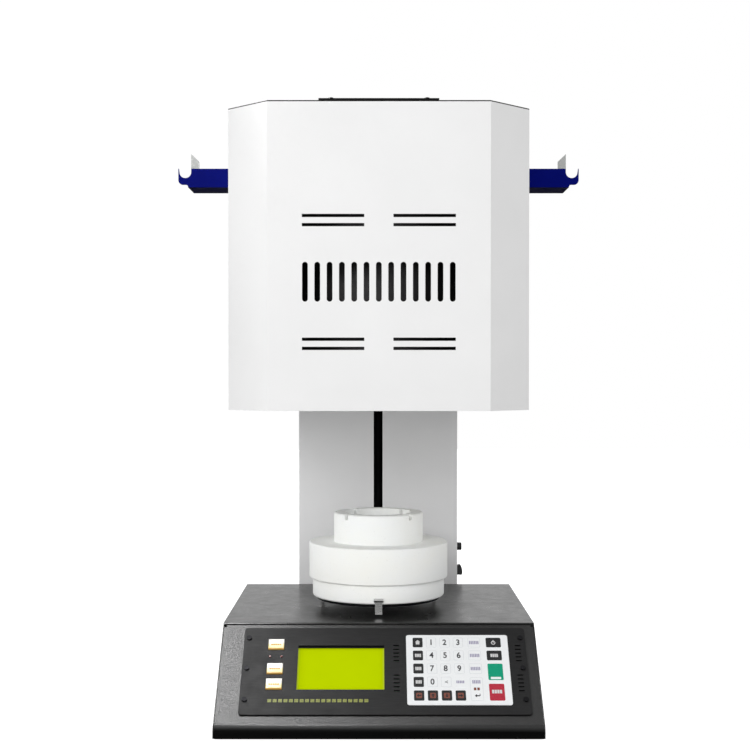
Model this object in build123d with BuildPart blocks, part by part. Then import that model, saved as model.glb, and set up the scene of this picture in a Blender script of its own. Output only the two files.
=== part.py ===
from build123d import *
import os
from math import atan2, cos, degrees, radians, sin, tan

# Sintering furnace with a hearth that lifts into a hood.
# Millimetres, +Z up, -Y is the operator's side, origin on the floor at the middle of the
# whole furnace.

os.makedirs("parts", exist_ok=True)

# Base cabinet
base_width = 400
base_depth = 440
base_height = 118
panel_run = 120
lip_height = 13
lip_bend = 12
sheet = 1.5
seam = 3
return_flange = 16
foot_proud = 3
foot_radius = 16
foot_inset = 45
tray_sheet = 2
tray_flange = 14
panel_fit = 0.2
corner_notch = 3.5
notch_drop = 7
rear_grille_length = 48
rear_grille_height = 4
rear_grille_pitch = 8
rear_grille_count = 6

# Cabinet fan
fan_side = 60
fan_depth = 25
fan_corner = 4
fan_throat = 28.5
fan_hub = 13
rotor_hub = 12
strut_width = 4
strut_depth = 3
blade_count = 7
blade_place = 18.5
blade_span = 15
blade_chord = 16
blade_thick = 1.4
blade_pitch = 42
fan_clear = 0.3
fan_margin = 8.25

# Transformer and power controller inside the cabinet
core_width = 150
core_height = 104
core_depth = 62
core_inset = 138
core_y = 40
limb = 25
coil_gap = 0.3
coil_swell = 20
coil_corner = 8
sink_inset = 88
sink_y = 60
sink_back = 12
sink_length = 110
sink_height = 80
fin_count = 9
fin_pitch = 12
fin_length = 44
fin_thick = 3
module_depth = 14
module_length = 60
module_height = 48
module_rise = 15

# Column
column_width = 241
column_depth = 95
column_drop = 22
slot_width = 13.5
slot_sill = 1
post_side = 30
post_wall = 2
cover_fit = 0.2
slot_length = 90
slot_height = 4
slot_pitch = 12
slot_count = 7
low_slots_rise = 80
high_slots_rise = 190

# Hood
hood_width = 383
hood_depth = 386
hood_height = 383
hood_gap = 274.3
hood_chamfer = 53.5
hood_floor = 3
fold = 14
lid_width = 148.8
lid_depth = 290
lid_thick = 2.4
lid_slot_length = 90
lid_slot_height = 5
lid_slot_pitch = 16
lid_slot_count = 9
lid_screw_inset_x = 14.9
lid_screw_inset_y = 7
screw_head = 3.2
screw_head_height = 1.8
rear_vent_margin = 13.5
rear_vent_height = 4
rear_vent_pitch = 12
rear_vent_count = 6

# Vents of the hood's front
vent_length = 77
vent_height = 4
vent_pitch = 11.3
vent_spread = 113
vent_high = 235.5
vent_low = 83
grille_count = 13
grille_pitch = 15.2
grille_slot = 7
grille_height = 49
grille_rise = 159.5

# Hearth stack
hearth_clear = 16.7
base_disc_radius = 90.3
base_disc_height = 24.7
plug_radius = 95.1
plug_height = 49.1
ring_radius = 61.2
ring_height = 39.8
ring_bore = 45
ring_recess = 14
ring_notch = 6
notch_depth = 7.5
brick_edge = 1.5
table_radius = 84
table_thick = 4
clip_width = 9.4
clip_head_width = 12.6
clip_head_height = 5
clip_flare = 1.6
clip_thick = 1.5
clip_rise = 8.3
clip_drop = 8.6
clip_foot = 20
clip_gap = 0.3

# Lift
lift_travel = 231
arm_thick = 10
arm_reach = 62
arm_root = 36
arm_clear = 3
arm_nose = 5
arm_nose_run = 12
arm_clasp = 6
slot_run = 12
rail_radius = 8
rail_spread = 100
rail_setback = 42
carriage_width = 134
carriage_depth = 40
carriage_height = 64
bushing_radius = 13
screw_radius = 8
journal_radius = 6
shaft_radius = 3.2
bearing_radius = 16
bearing_height = 12
block_height = 18
nut_radius = 14
nut_flange = 21
nut_flange_height = 8
nut_rise = 6
carriage_drop = 2
block_clear = 4
block_margin = 24
block_proud = 24
coupling_radius = 10
coupling_height = 24
coupling_step = 12
coupling_clear = 3
motor_side = 57
motor_height = 56
motor_corner = 5
pilot_radius = 19
pilot_height = 1.6
shaft_bore_depth = 20
shaft_depth = 15
thread_clear = 1
screw_end_gap = 2
limit_thick = 6
limit_length = 20
limit_height = 11
limit_gap = 5
run_fit = 0.06
fit = 0.05

# Chamber
port_gap = 3
seat_gap = 2.5
bore_radius = 76
chamber_height = 155
muffle_radius = 150
roof_height = 45
casing_wall = 1.5
element_count = 6
element_place = 70
element_spread = 30
element_radius = 2
element_sides = 8
bend_count = 6
cold_radius = 4.5
cold_length = 98
element_lift = 12
clamp_side = 14
strap_thick = 2
strap_width = 12
roof_bore_gap = 0.5
casing_lip = 30
ring_joint = 0.3
head_radius = 11
head_height = 20
probe_place = 62
probe_radius = 4
probe_depth = 70

# Hooked side arms
arm_width = 60
arm_height = 25.2
arm_length = 62
arm_rise = 298.4
arm_wall = 2
hook_radius = 7.7
hook_depth = 12.7
fence_height = 19.8
fence_low = 9.8
fence_length = 13

# Control panel, measured from the middle and down from the slope's top edge
panel_drawn = 356.5
fascia_left = 29.25
fascia_right = 14.25
fascia_height = 131
fascia_v = 75.8
fascia_thick = 2
fascia_corner = 4
panel_vent_width = 7.2
panel_vent_height = 1.8
vent_step = 5.8
panel_vent_count = 5
vent_left_u = 22
vent_right_u = 175.6
high_vents_v = 38.2
low_vents_v = 83.4
window_width = 307
window_height = 92
window_v = 71
screw_hole = 1.7
screw_gap = 0.2
screw_tail = 2
screw_margin = 6.25
screw_pitch = 46.7
screw_v = 73
lcd_width = 108.4
lcd_height = 66.8
lcd_x = -47.4
lcd_v = 71.3
lcd_rim = 4
lcd_drop = 1.7
button_width = 19.6
button_height = 15.2
button_x = -129.5
button_vs = (36.7, 74, 97.1)
button_proud = 2.2
button_gap = 0.35
button_travel = 1.5
button_chamfer = 0.6
cap_depth = 6
stem_height = 2
stem_gap = 0.3
guide_wall = 1.2
guide_height = 1.5
housing_wall = 2
housing_spare = 4
indicator_radius = 1.6
indicator_spread = 14.4
indicator_v = 54.9
indicator_depth = 4
indicator_proud = 0.6
indicator_gap = 0.1
keypad_width = 128.6
keypad_height = 105.8
keypad_x = 98.9
keypad_v = 75
keypad_thick = 0.8
keypad_corner = 3
key_proud = 0.35
key_width = 12.6
key_height = 15
key_column = 17
key_row = 20.05
key_first_x = 49.2
key_first_v = 34.2
text_key_x = 120.3
text_key_width = 15.6
side_key_x = 144.9
side_key_width = 18.8
tall_key_height = 34.4
work_key_height = 24.8

# Control board behind the panel
board_depth = 12
board_sheet = 1.6
board_margin = 10
board_trim = 1.5
spacer_span = 216
spacer_rise = 83
spacer_side = 5
chip_width = 19
chip_length = 15
chip_pitch = 40
chip_count = 4
socket_width = 36
socket_length = 12
socket_x = 100
socket_spread = 40
chip_height = 10

# Switch and fuse on the column's side
switch_setback = 30
switch_rise = 16.8
switch_bezel_height = 20.2
switch_bezel_width = 13
bezel_proud = 1.5
rocker_half = 8.2
rocker_reach = 8.4
rocker_dip = 1.6
rocker_tilt = 11
bezel_corner = 1
bezel_rim = 2
bezel_end = 1.4
switch_depth = 20
switch_well = 15.5
body_gap = 0.1
rocker_gap = 0.6
rocker_side_gap = 0.3
rocker_shoulder = 2
rocker_root = 6
fuse_rise = 54
fuse_radius = 6
fuse_proud = 8.5
fuse_chamfer = 0.8
fuse_neck = 0.8
fuse_neck_gap = 0.2
fuse_depth = 26

# Mains inlet on the column's back
inlet_proud = 2
inlet_x = 62
inlet_z = 40
inlet_width = 30
inlet_height = 24
inlet_ear = 9
inlet_margin = 2.5
inlet_corner = 3
inlet_depth = 24
inlet_gap = 0.2
socket_half_width = 12
socket_half_height = 8
socket_bevel = 4
socket_depth = 17
pin_spread = 14
pin_drop = 2
earth_rise = 2.5
pin_width = 2
pin_height = 5
pin_length = 11

# Where the main faces lie
overall_depth = base_depth + column_depth + inlet_proud
front_y = -overall_depth / 2
slope_y = front_y + panel_run
column_y = front_y + base_depth
rear_y = column_y + column_depth
base_z = foot_proud
top_z = base_z + base_height
tray_top = base_z + tray_sheet
hood_z = top_z + hood_gap
hood_top_z = hood_z + hood_height
column_top = hood_top_z - column_drop
hearth_y = column_y - hood_depth / 2
hood_front_y = column_y - hood_depth
side_x = column_width / 2
core_x = core_inset - base_width / 2
sink_x = base_width / 2 - sink_inset
fascia_width = base_width - fascia_left - fascia_right
fascia_x = (fascia_left - fascia_right) / 2

# Heights of the hearth stack at rest
disc_z = top_z + hearth_clear
plug_z = disc_z + base_disc_height
ring_z = plug_z + plug_height
ring_top = ring_z + ring_height
table_z = disc_z - table_thick
step_z = ring_z + lift_travel + seat_gap
roof_z = step_z + chamber_height
muffle_top = roof_z + roof_height
port_radius = plug_radius + port_gap

# Heights of the lift's parts at rest
screw_y = column_y + rail_setback
arm_z = top_z + arm_clear
carriage_z = arm_z - carriage_drop
lower_block_z = carriage_z - block_clear - block_height
upper_block_z = carriage_z + carriage_height + lift_travel + block_margin
coupling_z = lower_block_z - coupling_clear - coupling_height
post_x = side_x - sheet - post_side / 2
post_y = rear_y - sheet - post_side / 2
block_width = 2 * (post_x - post_side / 2)
block_depth = rear_y - sheet - screw_y + block_proud

# The slanted panel's plane: local x runs right, local y runs up the slope
slope_angle = atan2(base_height - lip_height, panel_run)
slope = Plane(
    origin=(0, slope_y, top_z), x_dir=(1, 0, 0), z_dir=(0, -sin(slope_angle), cos(slope_angle))
)
slope_out = Axis(slope.origin, slope.z_dir)


def save(piece, name):
    """Label a finished piece and write it as its own file"""
    piece.part.label = name
    export_step(piece.part, f"parts/{name}.step")


def across(length):
    """A width or place on the panel, kept in proportion to the fascia's width"""
    return length * fascia_width / panel_drawn


# Outlines that several pieces share
with BuildSketch(Plane.YZ) as base_outline:
    Polygon(
        (slope_y, top_z), (column_y, top_z), (column_y, base_z), (front_y, base_z),
        (front_y, base_z + lip_height), align=None,
    )
    fillet(base_outline.vertices().sort_by(Axis.X)[:2].sort_by(Axis.Y)[-1], lip_bend)
with BuildSketch(Plane.YZ) as base_inside:
    add(base_outline.sketch_local)
    offset(amount=-sheet, mode=Mode.REPLACE)


def hood_outline(inset, z):
    """Plan of the hood with its two cut front corners, drawn inside its faces"""
    side = hood_width / 2 - inset
    front = hood_front_y + inset
    corner = hood_chamfer - inset * tan(radians(22.5))
    with BuildSketch(Plane.XY.offset(z)) as plan:
        Polygon(
            (-side, column_y), (side, column_y), (side, front + corner), (side - corner, front),
            (corner - side, front), (-side, front + corner), align=None,
        )
    return plan.sketch


hood_shell = hood_outline(0, hood_z)
hood_inside = hood_outline(sheet, hood_z)
hood_lid = hood_outline(0, hood_top_z - sheet)

# Places on the control panel
fascia_screws_at = [
    (fascia_x + side * (fascia_width / 2 - screw_margin), row * screw_pitch - screw_v)
    for side in (-1, 1) for row in (-1, 0, 1)
]
buttons_at = [(across(button_x), -v) for v in button_vs]
indicators_at = [
    (across(button_x) + side * indicator_spread / 2, -indicator_v) for side in (-1, 1)
]
cap_width = across(button_width)
vents_at = [
    (across(u), first_v - vent_step * row)
    for u in (vent_left_u, vent_right_u) for first_v in (-high_vents_v, -low_vents_v)
    for row in range(panel_vent_count)
]

# Base tray: floor of the cabinet with a tongue that carries the column
with BuildPart() as base_tray:
    tray_width = base_width - 2 * sheet
    tray_front = front_y + return_flange + seam
    tray_rear = column_y - sheet
    tongue_width = column_width - 2 * sheet
    with BuildSketch(Plane.XY.offset(base_z)):
        with Locations((0, (tray_front + tray_rear) / 2)):
            Rectangle(tray_width, tray_rear - tray_front)
        with Locations((0, tray_rear)):
            Rectangle(tongue_width, rear_y - tray_rear - sheet, align=(Align.CENTER, Align.MIN))
    extrude(amount=tray_sheet)
    with BuildSketch(Plane.XY.offset(tray_top)):
        with Locations((0, (slope_y + tray_rear) / 2)):
            with GridLocations(tray_width - tray_sheet, 0, 2, 1):
                Rectangle(tray_sheet, tray_rear - slope_y)
    extrude(amount=tray_flange)
save(base_tray, "base_tray")

# Rubber feet under the tray's corners and under the column
with BuildPart() as rubber_feet:
    with BuildSketch(Plane.XY):
        with Locations((0, (front_y + column_y) / 2)):
            with GridLocations(base_width - 2 * foot_inset, base_depth - 2 * foot_inset, 2, 2):
                Circle(foot_radius)
        with Locations((0, rear_y - foot_inset / 2 - sheet)):
            with GridLocations(column_width - 2 * foot_inset, 0, 2, 1):
                Circle(foot_radius)
    extrude(amount=foot_proud, taper=6)
save(rubber_feet, "rubber_feet")

# Base cover: the top and both sides, folded from one sheet
with BuildPart() as base_cover:
    extrude(base_outline.sketch, amount=base_width / 2, both=True)
    with BuildSketch(Plane.YZ):
        with Locations(((front_y + column_y) / 2, base_z)):
            Rectangle(base_depth + 4 * sheet, 2 * (base_height - sheet))
    extrude(amount=base_width / 2 - sheet, both=True, mode=Mode.SUBTRACT)
    with BuildSketch(Plane.XY.offset(top_z - sheet)):
        with Locations((0, slope_y + 2 * sheet)):
            Rectangle(base_width - 2 * sheet, sheet)
    extrude(amount=-tray_flange)
save(base_cover, "base_cover")

# Front panel: the slanted face, the bend and the lip, with a window behind the fascia
with BuildPart() as base_front_panel:
    panel_half = base_width / 2 - sheet - panel_fit
    extrude(base_outline.sketch, amount=panel_half, both=True)
    extrude(base_inside.sketch, amount=panel_half, both=True, mode=Mode.SUBTRACT)
    split(bisect_by=Plane.XZ.offset(seam - slope_y), keep=Keep.TOP)
    with BuildSketch(Plane.XY.offset(base_z)):
        with Locations((0, front_y + return_flange)):
            Rectangle(base_width, panel_run, align=(Align.CENTER, Align.MIN))
    extrude(amount=sheet, mode=Mode.SUBTRACT)
    with BuildSketch(slope):
        with Locations((fascia_x, -window_v)):
            Rectangle(across(window_width), window_height)
        with Locations(*fascia_screws_at):
            Circle(screw_hole)
        with GridLocations(2 * panel_half, 0, 2, 1):
            Rectangle(2 * corner_notch, 2 * notch_drop)
    extrude(amount=-3 * sheet, mode=Mode.SUBTRACT)
save(base_front_panel, "base_front_panel")

# Rear panel of the cabinet with the fan's grille
fan_x = -(base_width / 2 - sheet - fan_margin - fan_side / 2)
fan_z = base_z + base_height / 2
with BuildPart() as base_rear_panel:
    with BuildSketch(Plane.XZ.offset(-column_y)):
        with Locations((0, tray_top)):
            Rectangle(
                base_width - 2 * sheet, top_z - sheet - tray_top, align=(Align.CENTER, Align.MIN)
            )
        with Locations((0, fan_z)):
            with GridLocations(2 * fan_x, rear_grille_pitch, 2, rear_grille_count):
                Rectangle(rear_grille_length, rear_grille_height, mode=Mode.SUBTRACT)
    extrude(amount=sheet)
save(base_rear_panel, "base_rear_panel")

# Fan: a square frame with three struts, and its bladed rotor
fan_axis = Plane.XZ.offset(-(column_y - sheet))
with BuildPart() as fan_frame:
    with BuildSketch(fan_axis):
        with Locations((fan_x, fan_z)):
            RectangleRounded(fan_side, fan_side, fan_corner)
            Circle(fan_throat, mode=Mode.SUBTRACT)
    extrude(amount=fan_depth)
    with BuildSketch(fan_axis.offset(fan_depth - strut_depth)):
        with Locations((fan_x, fan_z)):
            Circle(fan_hub)
            with PolarLocations(0, 3, 90):
                Rectangle(fan_throat + strut_width / 8, strut_width, align=(Align.MIN, Align.CENTER))
    extrude(amount=strut_depth)
save(fan_frame, "fan_frame")

rotor_start = 2
rotor_depth = fan_depth - rotor_start - strut_depth - fan_clear
with BuildPart() as fan_rotor:
    with BuildSketch(fan_axis.offset(rotor_start)):
        with Locations((fan_x, fan_z)):
            Circle(rotor_hub)
    extrude(amount=rotor_depth)
    with Locations(fan_axis.offset(rotor_start + rotor_depth / 2) * Location((fan_x, fan_z, 0))):
        with PolarLocations(blade_place, blade_count):
            Box(blade_chord, blade_span, blade_thick, rotation=(blade_pitch, 0, 0))
save(fan_rotor, "fan_rotor")

# Fascia plate with the screen's window, the buttons' slots, indicator holes and vents
with BuildPart() as fascia_plate:
    with BuildSketch(slope):
        with Locations((fascia_x, -fascia_v)):
            RectangleRounded(fascia_width, fascia_height, fascia_corner)
        with Locations((across(lcd_x), -lcd_v)):
            Rectangle(across(lcd_width), lcd_height, mode=Mode.SUBTRACT)
        with Locations(*buttons_at):
            Rectangle(
                cap_width + 2 * button_gap, button_height + 2 * button_gap, mode=Mode.SUBTRACT
            )
        with Locations(*vents_at):
            Rectangle(across(panel_vent_width), panel_vent_height, mode=Mode.SUBTRACT)
        with Locations(*indicators_at):
            Circle(indicator_radius, mode=Mode.SUBTRACT)
        with Locations(*fascia_screws_at):
            Circle(screw_hole, mode=Mode.SUBTRACT)
    extrude(amount=fascia_thick)
save(fascia_plate, "fascia_plate")

# Six round-head screws that hold the fascia
with BuildPart() as fascia_screws:
    with BuildSketch(slope.offset(fascia_thick)):
        with Locations(*fascia_screws_at):
            Circle(screw_head)
    extrude(amount=screw_head_height)
    with BuildSketch(slope.offset(fascia_thick)):
        with Locations(*fascia_screws_at):
            Circle(screw_hole - screw_gap)
    extrude(amount=-fascia_thick - sheet - screw_tail)
save(fascia_screws, "fascia_screws")

# Screen module sunk behind the fascia's window, seated on the control board
with BuildPart() as lcd_screen:
    with BuildSketch(slope.offset(-lcd_drop)):
        with Locations((across(lcd_x), -lcd_v)):
            Rectangle(across(lcd_width) + 2 * lcd_rim, lcd_height + 2 * lcd_rim)
    extrude(amount=lcd_drop - board_depth)
save(lcd_screen, "lcd_screen")

# Membrane keypad: one sheet with raised keys
columns = [across(key_first_x + key_column * n) for n in range(4)]
rows = [key_first_v + key_row * n for n in range(5)]
last_key_v = rows[4] + key_height / 2
green_v = rows[2] - key_height / 2 + work_key_height / 2
red_v = last_key_v - work_key_height / 2
with BuildPart() as keypad_overlay:
    with BuildSketch(slope.offset(fascia_thick)):
        with Locations((across(keypad_x), -keypad_v)):
            RectangleRounded(across(keypad_width), keypad_height, keypad_corner)
    extrude(amount=keypad_thick)
    with BuildSketch(slope.offset(fascia_thick + keypad_thick)):
        with Locations(*[(u, -v) for u in columns for v in rows]):
            Rectangle(across(key_width), key_height)
        with Locations(*[(across(text_key_x), -v) for v in rows[:3]]):
            Rectangle(across(text_key_width), key_height)
        with Locations((across(text_key_x), -(last_key_v - tall_key_height / 2))):
            Rectangle(across(text_key_width), tall_key_height)
        with Locations(*[(across(side_key_x), -v) for v in rows[:2]]):
            Rectangle(across(side_key_width), key_height)
        with Locations(*[(across(side_key_x), -v) for v in (green_v, red_v)]):
            Rectangle(across(side_key_width), work_key_height)
    extrude(amount=key_proud)
save(keypad_overlay, "keypad_overlay")

# Indicator lenses
with BuildPart() as indicator_lenses:
    with BuildSketch(slope.offset(-indicator_depth)):
        with Locations(*indicators_at):
            Circle(indicator_radius - indicator_gap)
    extrude(amount=indicator_depth + fascia_thick + indicator_proud)
save(indicator_lenses, "indicator_lenses")

# Push buttons: caps with a waisted stem that slide in fixed switch housings
housing_depth = cap_depth + button_travel + housing_spare
stem_width = cap_width / 3
stem_depth = button_height / 3
for name, place in zip(("button_top", "button_middle", "button_bottom"), buttons_at):
    with BuildPart() as cap:
        with BuildSketch(slope.offset(fascia_thick + button_proud)):
            with Locations(place):
                Rectangle(cap_width, button_height)
        extrude(amount=-(fascia_thick + button_proud + cap_depth))
        chamfer(cap.faces().sort_by(slope_out)[-1].edges(), button_chamfer)
        with BuildSketch(slope.offset(-cap_depth)):
            with Locations(place):
                Rectangle(stem_width, stem_depth)
        extrude(amount=-stem_height)
    save(cap, name)

with BuildPart() as button_switches:
    with BuildSketch(slope):
        with Locations(*buttons_at):
            Rectangle(
                cap_width + 2 * (button_gap + housing_wall),
                button_height + 2 * (button_gap + housing_wall),
            )
    extrude(amount=-housing_depth)
    with BuildSketch(slope):
        with Locations(*buttons_at):
            Rectangle(cap_width + 2 * button_gap, button_height + 2 * button_gap)
    extrude(amount=-(housing_depth - housing_wall), mode=Mode.SUBTRACT)
    with BuildSketch(slope.offset(-(housing_depth - housing_wall))):
        with Locations(*buttons_at):
            Rectangle(
                stem_width + 2 * (stem_gap + guide_wall), stem_depth + 2 * (stem_gap + guide_wall)
            )
            Rectangle(stem_width + 2 * stem_gap, stem_depth + 2 * stem_gap, mode=Mode.SUBTRACT)
    extrude(amount=guide_height)
save(button_switches, "button_switches")

# Control board on four spacers behind the fascia
with BuildPart() as control_board:
    with BuildSketch(slope.offset(-board_depth)):
        with Locations((fascia_x, -window_v)):
            Rectangle(across(window_width) - 2 * board_margin, window_height - 2 * board_trim)
    extrude(amount=-board_sheet)
    with BuildSketch(slope.offset(-board_depth)):
        with Locations((fascia_x, -window_v)):
            with GridLocations(across(spacer_span), spacer_rise, 2, 2):
                Rectangle(spacer_side, spacer_side)
    extrude(amount=board_depth)
    with BuildSketch(slope.offset(-board_depth - board_sheet)):
        with Locations((fascia_x, -window_v)):
            with GridLocations(chip_pitch, 0, chip_count, 1):
                Rectangle(chip_width, chip_length)
            with Locations((across(socket_x), 0)):
                with GridLocations(0, socket_spread, 1, 2):
                    Rectangle(socket_width, socket_length)
    extrude(amount=-chip_height)
save(control_board, "control_board")

# Transformer for the heating elements: a laminated core with two windows, and its coils
core_window = core_width / 2 - 2 * limb
with BuildPart() as transformer_core:
    with BuildSketch(Plane.XZ.offset(-(core_y + core_depth / 2))):
        with Locations((core_x, tray_top + core_height / 2)):
            Rectangle(core_width, core_height)
            with GridLocations(2 * limb + core_window, 0, 2, 1):
                Rectangle(core_window, core_height - 2 * limb, mode=Mode.SUBTRACT)
    extrude(amount=core_depth)
save(transformer_core, "transformer_core")

with BuildPart() as transformer_coils:
    coil_low = tray_top + limb + coil_gap
    with BuildSketch(Plane.XY.offset(coil_low)):
        with Locations((core_x, core_y)):
            RectangleRounded(
                2 * (limb + core_window - coil_gap), core_depth + 2 * coil_swell, coil_corner
            )
            Rectangle(2 * (limb + coil_gap), core_depth + 2 * coil_gap, mode=Mode.SUBTRACT)
    extrude(amount=core_height - 2 * limb - 2 * coil_gap)
save(transformer_coils, "transformer_coils")

# Power controller: a finned heatsink with the switching module on its side
with BuildPart() as power_controller:
    with BuildSketch(Plane.XY.offset(tray_top)):
        with Locations((sink_x, sink_y)):
            Rectangle(sink_back, sink_length)
            with GridLocations(0, fin_pitch, 1, fin_count):
                Rectangle(fin_length, fin_thick, align=(Align.MIN, Align.CENTER))
    extrude(amount=sink_height)
    with BuildSketch(Plane.XY.offset(tray_top + module_rise)):
        with Locations((sink_x - (sink_back + module_depth) / 2, sink_y)):
            Rectangle(module_depth, module_length)
    extrude(amount=module_height)
save(power_controller, "power_controller")

# Column cover: front with the arm's slot, both sides and a closed top
with BuildPart() as column_cover:
    with BuildSketch(Plane.XY.offset(base_z)):
        with Locations((0, (column_y + rear_y) / 2)):
            Rectangle(column_width, column_depth)
        with Locations((0, (column_y + rear_y) / 2 + sheet)):
            Rectangle(column_width - 2 * sheet, column_depth, mode=Mode.SUBTRACT)
    extrude(amount=column_top - base_z)
    with BuildSketch(Plane.XY.offset(column_top - sheet)):
        with Locations((0, (column_y + rear_y) / 2)):
            Rectangle(column_width, column_depth)
    extrude(amount=sheet)
    with BuildSketch(Plane.XZ.offset(-column_y)):
        with Locations((0, top_z + slot_sill)):
            Rectangle(slot_width, hood_gap + fold, align=(Align.CENTER, Align.MIN))
        with Locations((0, base_z)):
            Rectangle(tongue_width, 2 * tray_sheet)
    extrude(amount=-sheet, mode=Mode.SUBTRACT)
    with BuildSketch(Plane.YZ.offset(side_x)):
        with Locations((column_y + switch_setback, top_z + switch_rise)):
            Rectangle(switch_bezel_width - bezel_rim, switch_bezel_height - bezel_end)
        with Locations((column_y + switch_setback, top_z + fuse_rise)):
            Circle(fuse_radius - fuse_neck)
    extrude(amount=-sheet, mode=Mode.SUBTRACT)
save(column_cover, "column_cover")

# Rear cover of the column with cooling slots and the inlet's cut-out
rear_cover_top = column_top - sheet - cover_fit
with BuildPart() as column_rear_cover:
    with BuildSketch(Plane.XZ.offset(-rear_y)):
        with Locations((0, (base_z + rear_cover_top) / 2)):
            Rectangle(column_width - 2 * (sheet + cover_fit), rear_cover_top - base_z)
        with Locations((0, top_z + low_slots_rise), (0, hood_z + high_slots_rise)):
            with GridLocations(0, slot_pitch, 1, slot_count):
                Rectangle(slot_length, slot_height, mode=Mode.SUBTRACT)
        with Locations((inlet_x, inlet_z)):
            Rectangle(inlet_width, inlet_height, mode=Mode.SUBTRACT)
    extrude(amount=sheet)
save(column_rear_cover, "column_rear_cover")

# Mains inlet: a flanged socket body with three pins
inlet_face = Plane.XZ.offset(-rear_y - inlet_proud)
with BuildPart() as mains_inlet:
    with BuildSketch(Plane.XZ.offset(-rear_y)):
        with Locations((inlet_x, inlet_z)):
            RectangleRounded(
                inlet_width + 2 * inlet_ear, inlet_height + 2 * inlet_margin, inlet_corner
            )
    extrude(amount=-inlet_proud)
    with BuildSketch(Plane.XZ.offset(-rear_y)):
        with Locations((inlet_x, inlet_z)):
            Rectangle(inlet_width - 2 * inlet_gap, inlet_height - 2 * inlet_gap)
    extrude(amount=inlet_depth)
    with BuildSketch(inlet_face) as socket:
        with Locations((inlet_x, inlet_z)):
            Rectangle(2 * socket_half_width, 2 * socket_half_height)
        chamfer(socket.vertices().group_by(Axis.Y)[-1], socket_bevel)
    extrude(amount=socket_depth, mode=Mode.SUBTRACT)
    with BuildSketch(inlet_face.offset(socket_depth)):
        with Locations((inlet_x, inlet_z)):
            with Locations((-pin_spread / 2, -pin_drop), (pin_spread / 2, -pin_drop), (0, earth_rise)):
                Rectangle(pin_width, pin_height)
    extrude(amount=-pin_length)
save(mains_inlet, "mains_inlet")

# Two steel posts that carry the hood's weight
with BuildPart() as column_posts:
    with BuildSketch(Plane.XY.offset(tray_top)):
        with Locations((0, post_y)):
            with GridLocations(2 * post_x, 0, 2, 1):
                Rectangle(post_side, post_side)
                Rectangle(post_side - 2 * post_wall, post_side - 2 * post_wall, mode=Mode.SUBTRACT)
    extrude(amount=column_top - sheet - tray_top)
save(column_posts, "column_posts")

# Bearing blocks bolted between the posts, bored for the rails and the screw's bearings
block_y = rear_y - sheet - block_depth / 2
for name, z in (("lower_bearing_block", lower_block_z), ("upper_bearing_block", upper_block_z)):
    with BuildPart() as block:
        with BuildSketch(Plane.XY.offset(z)):
            with Locations((0, block_y)):
                Rectangle(block_width, block_depth)
            with Locations((0, screw_y)):
                Circle(bearing_radius + fit, mode=Mode.SUBTRACT)
                with GridLocations(rail_spread, 0, 2, 1):
                    Circle(rail_radius + fit, mode=Mode.SUBTRACT)
        extrude(amount=block_height)
    save(block, name)

with BuildPart() as screw_bearings:
    for z in (lower_block_z, upper_block_z):
        with BuildSketch(Plane.XY.offset(z + (block_height - bearing_height) / 2)):
            with Locations((0, screw_y)):
                Circle(bearing_radius)
                Circle(journal_radius + run_fit, mode=Mode.SUBTRACT)
        extrude(amount=bearing_height)
save(screw_bearings, "screw_bearings")

with BuildPart() as guide_rails:
    with BuildSketch(Plane.XY.offset(lower_block_z)):
        with Locations((0, screw_y)):
            with GridLocations(rail_spread, 0, 2, 1):
                Circle(rail_radius)
    extrude(amount=upper_block_z + block_height - lower_block_z)
save(guide_rails, "guide_rails")

# Limit switches at the ends of the carriage's travel
limit_x = carriage_width / 2 + limit_gap + limit_thick / 2
with BuildPart() as limit_switches:
    with BuildSketch(Plane.XY.offset(lower_block_z + block_height)):
        with Locations((limit_x, screw_y)):
            Rectangle(limit_thick, limit_length)
    extrude(amount=limit_height)
    with BuildSketch(Plane.XY.offset(upper_block_z)):
        with Locations((limit_x, screw_y)):
            Rectangle(limit_thick, limit_length)
    extrude(amount=-limit_height)
save(limit_switches, "limit_switches")

# Lift motor standing on the tray, its shaft bore upwards
motor_top = tray_top + motor_height + pilot_height
with BuildPart() as lift_motor:
    with BuildSketch(Plane.XY.offset(tray_top)):
        with Locations((0, screw_y)):
            RectangleRounded(motor_side, motor_side, motor_corner)
    extrude(amount=motor_height)
    with BuildSketch(Plane.XY.offset(tray_top + motor_height)):
        with Locations((0, screw_y)):
            Circle(pilot_radius)
    extrude(amount=pilot_height)
    with BuildSketch(Plane.XY.offset(motor_top)):
        with Locations((0, screw_y)):
            Circle(shaft_radius + run_fit)
    extrude(amount=-shaft_bore_depth, mode=Mode.SUBTRACT)
save(lift_motor, "lift_motor")

# Lead screw with its journals, and the coupling that clamps it to the motor
screw_plane = Plane.XZ.offset(-screw_y)
screw_axis = Axis((0, screw_y, 0), (0, 0, 1))
screw_foot = motor_top - shaft_depth
thread_low = lower_block_z + block_height + thread_clear
thread_high = upper_block_z - thread_clear
screw_end = upper_block_z + block_height - screw_end_gap
journal_z = coupling_z + coupling_step
with BuildPart() as lead_screw:
    with BuildSketch(screw_plane):
        Polygon(
            (0, screw_foot), (shaft_radius, screw_foot), (shaft_radius, journal_z),
            (journal_radius, journal_z), (journal_radius, thread_low),
            (screw_radius, thread_low), (screw_radius, thread_high),
            (journal_radius, thread_high), (journal_radius, screw_end), (0, screw_end),
            align=None,
        )
    revolve(axis=screw_axis)
save(lead_screw, "lead_screw")

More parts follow.
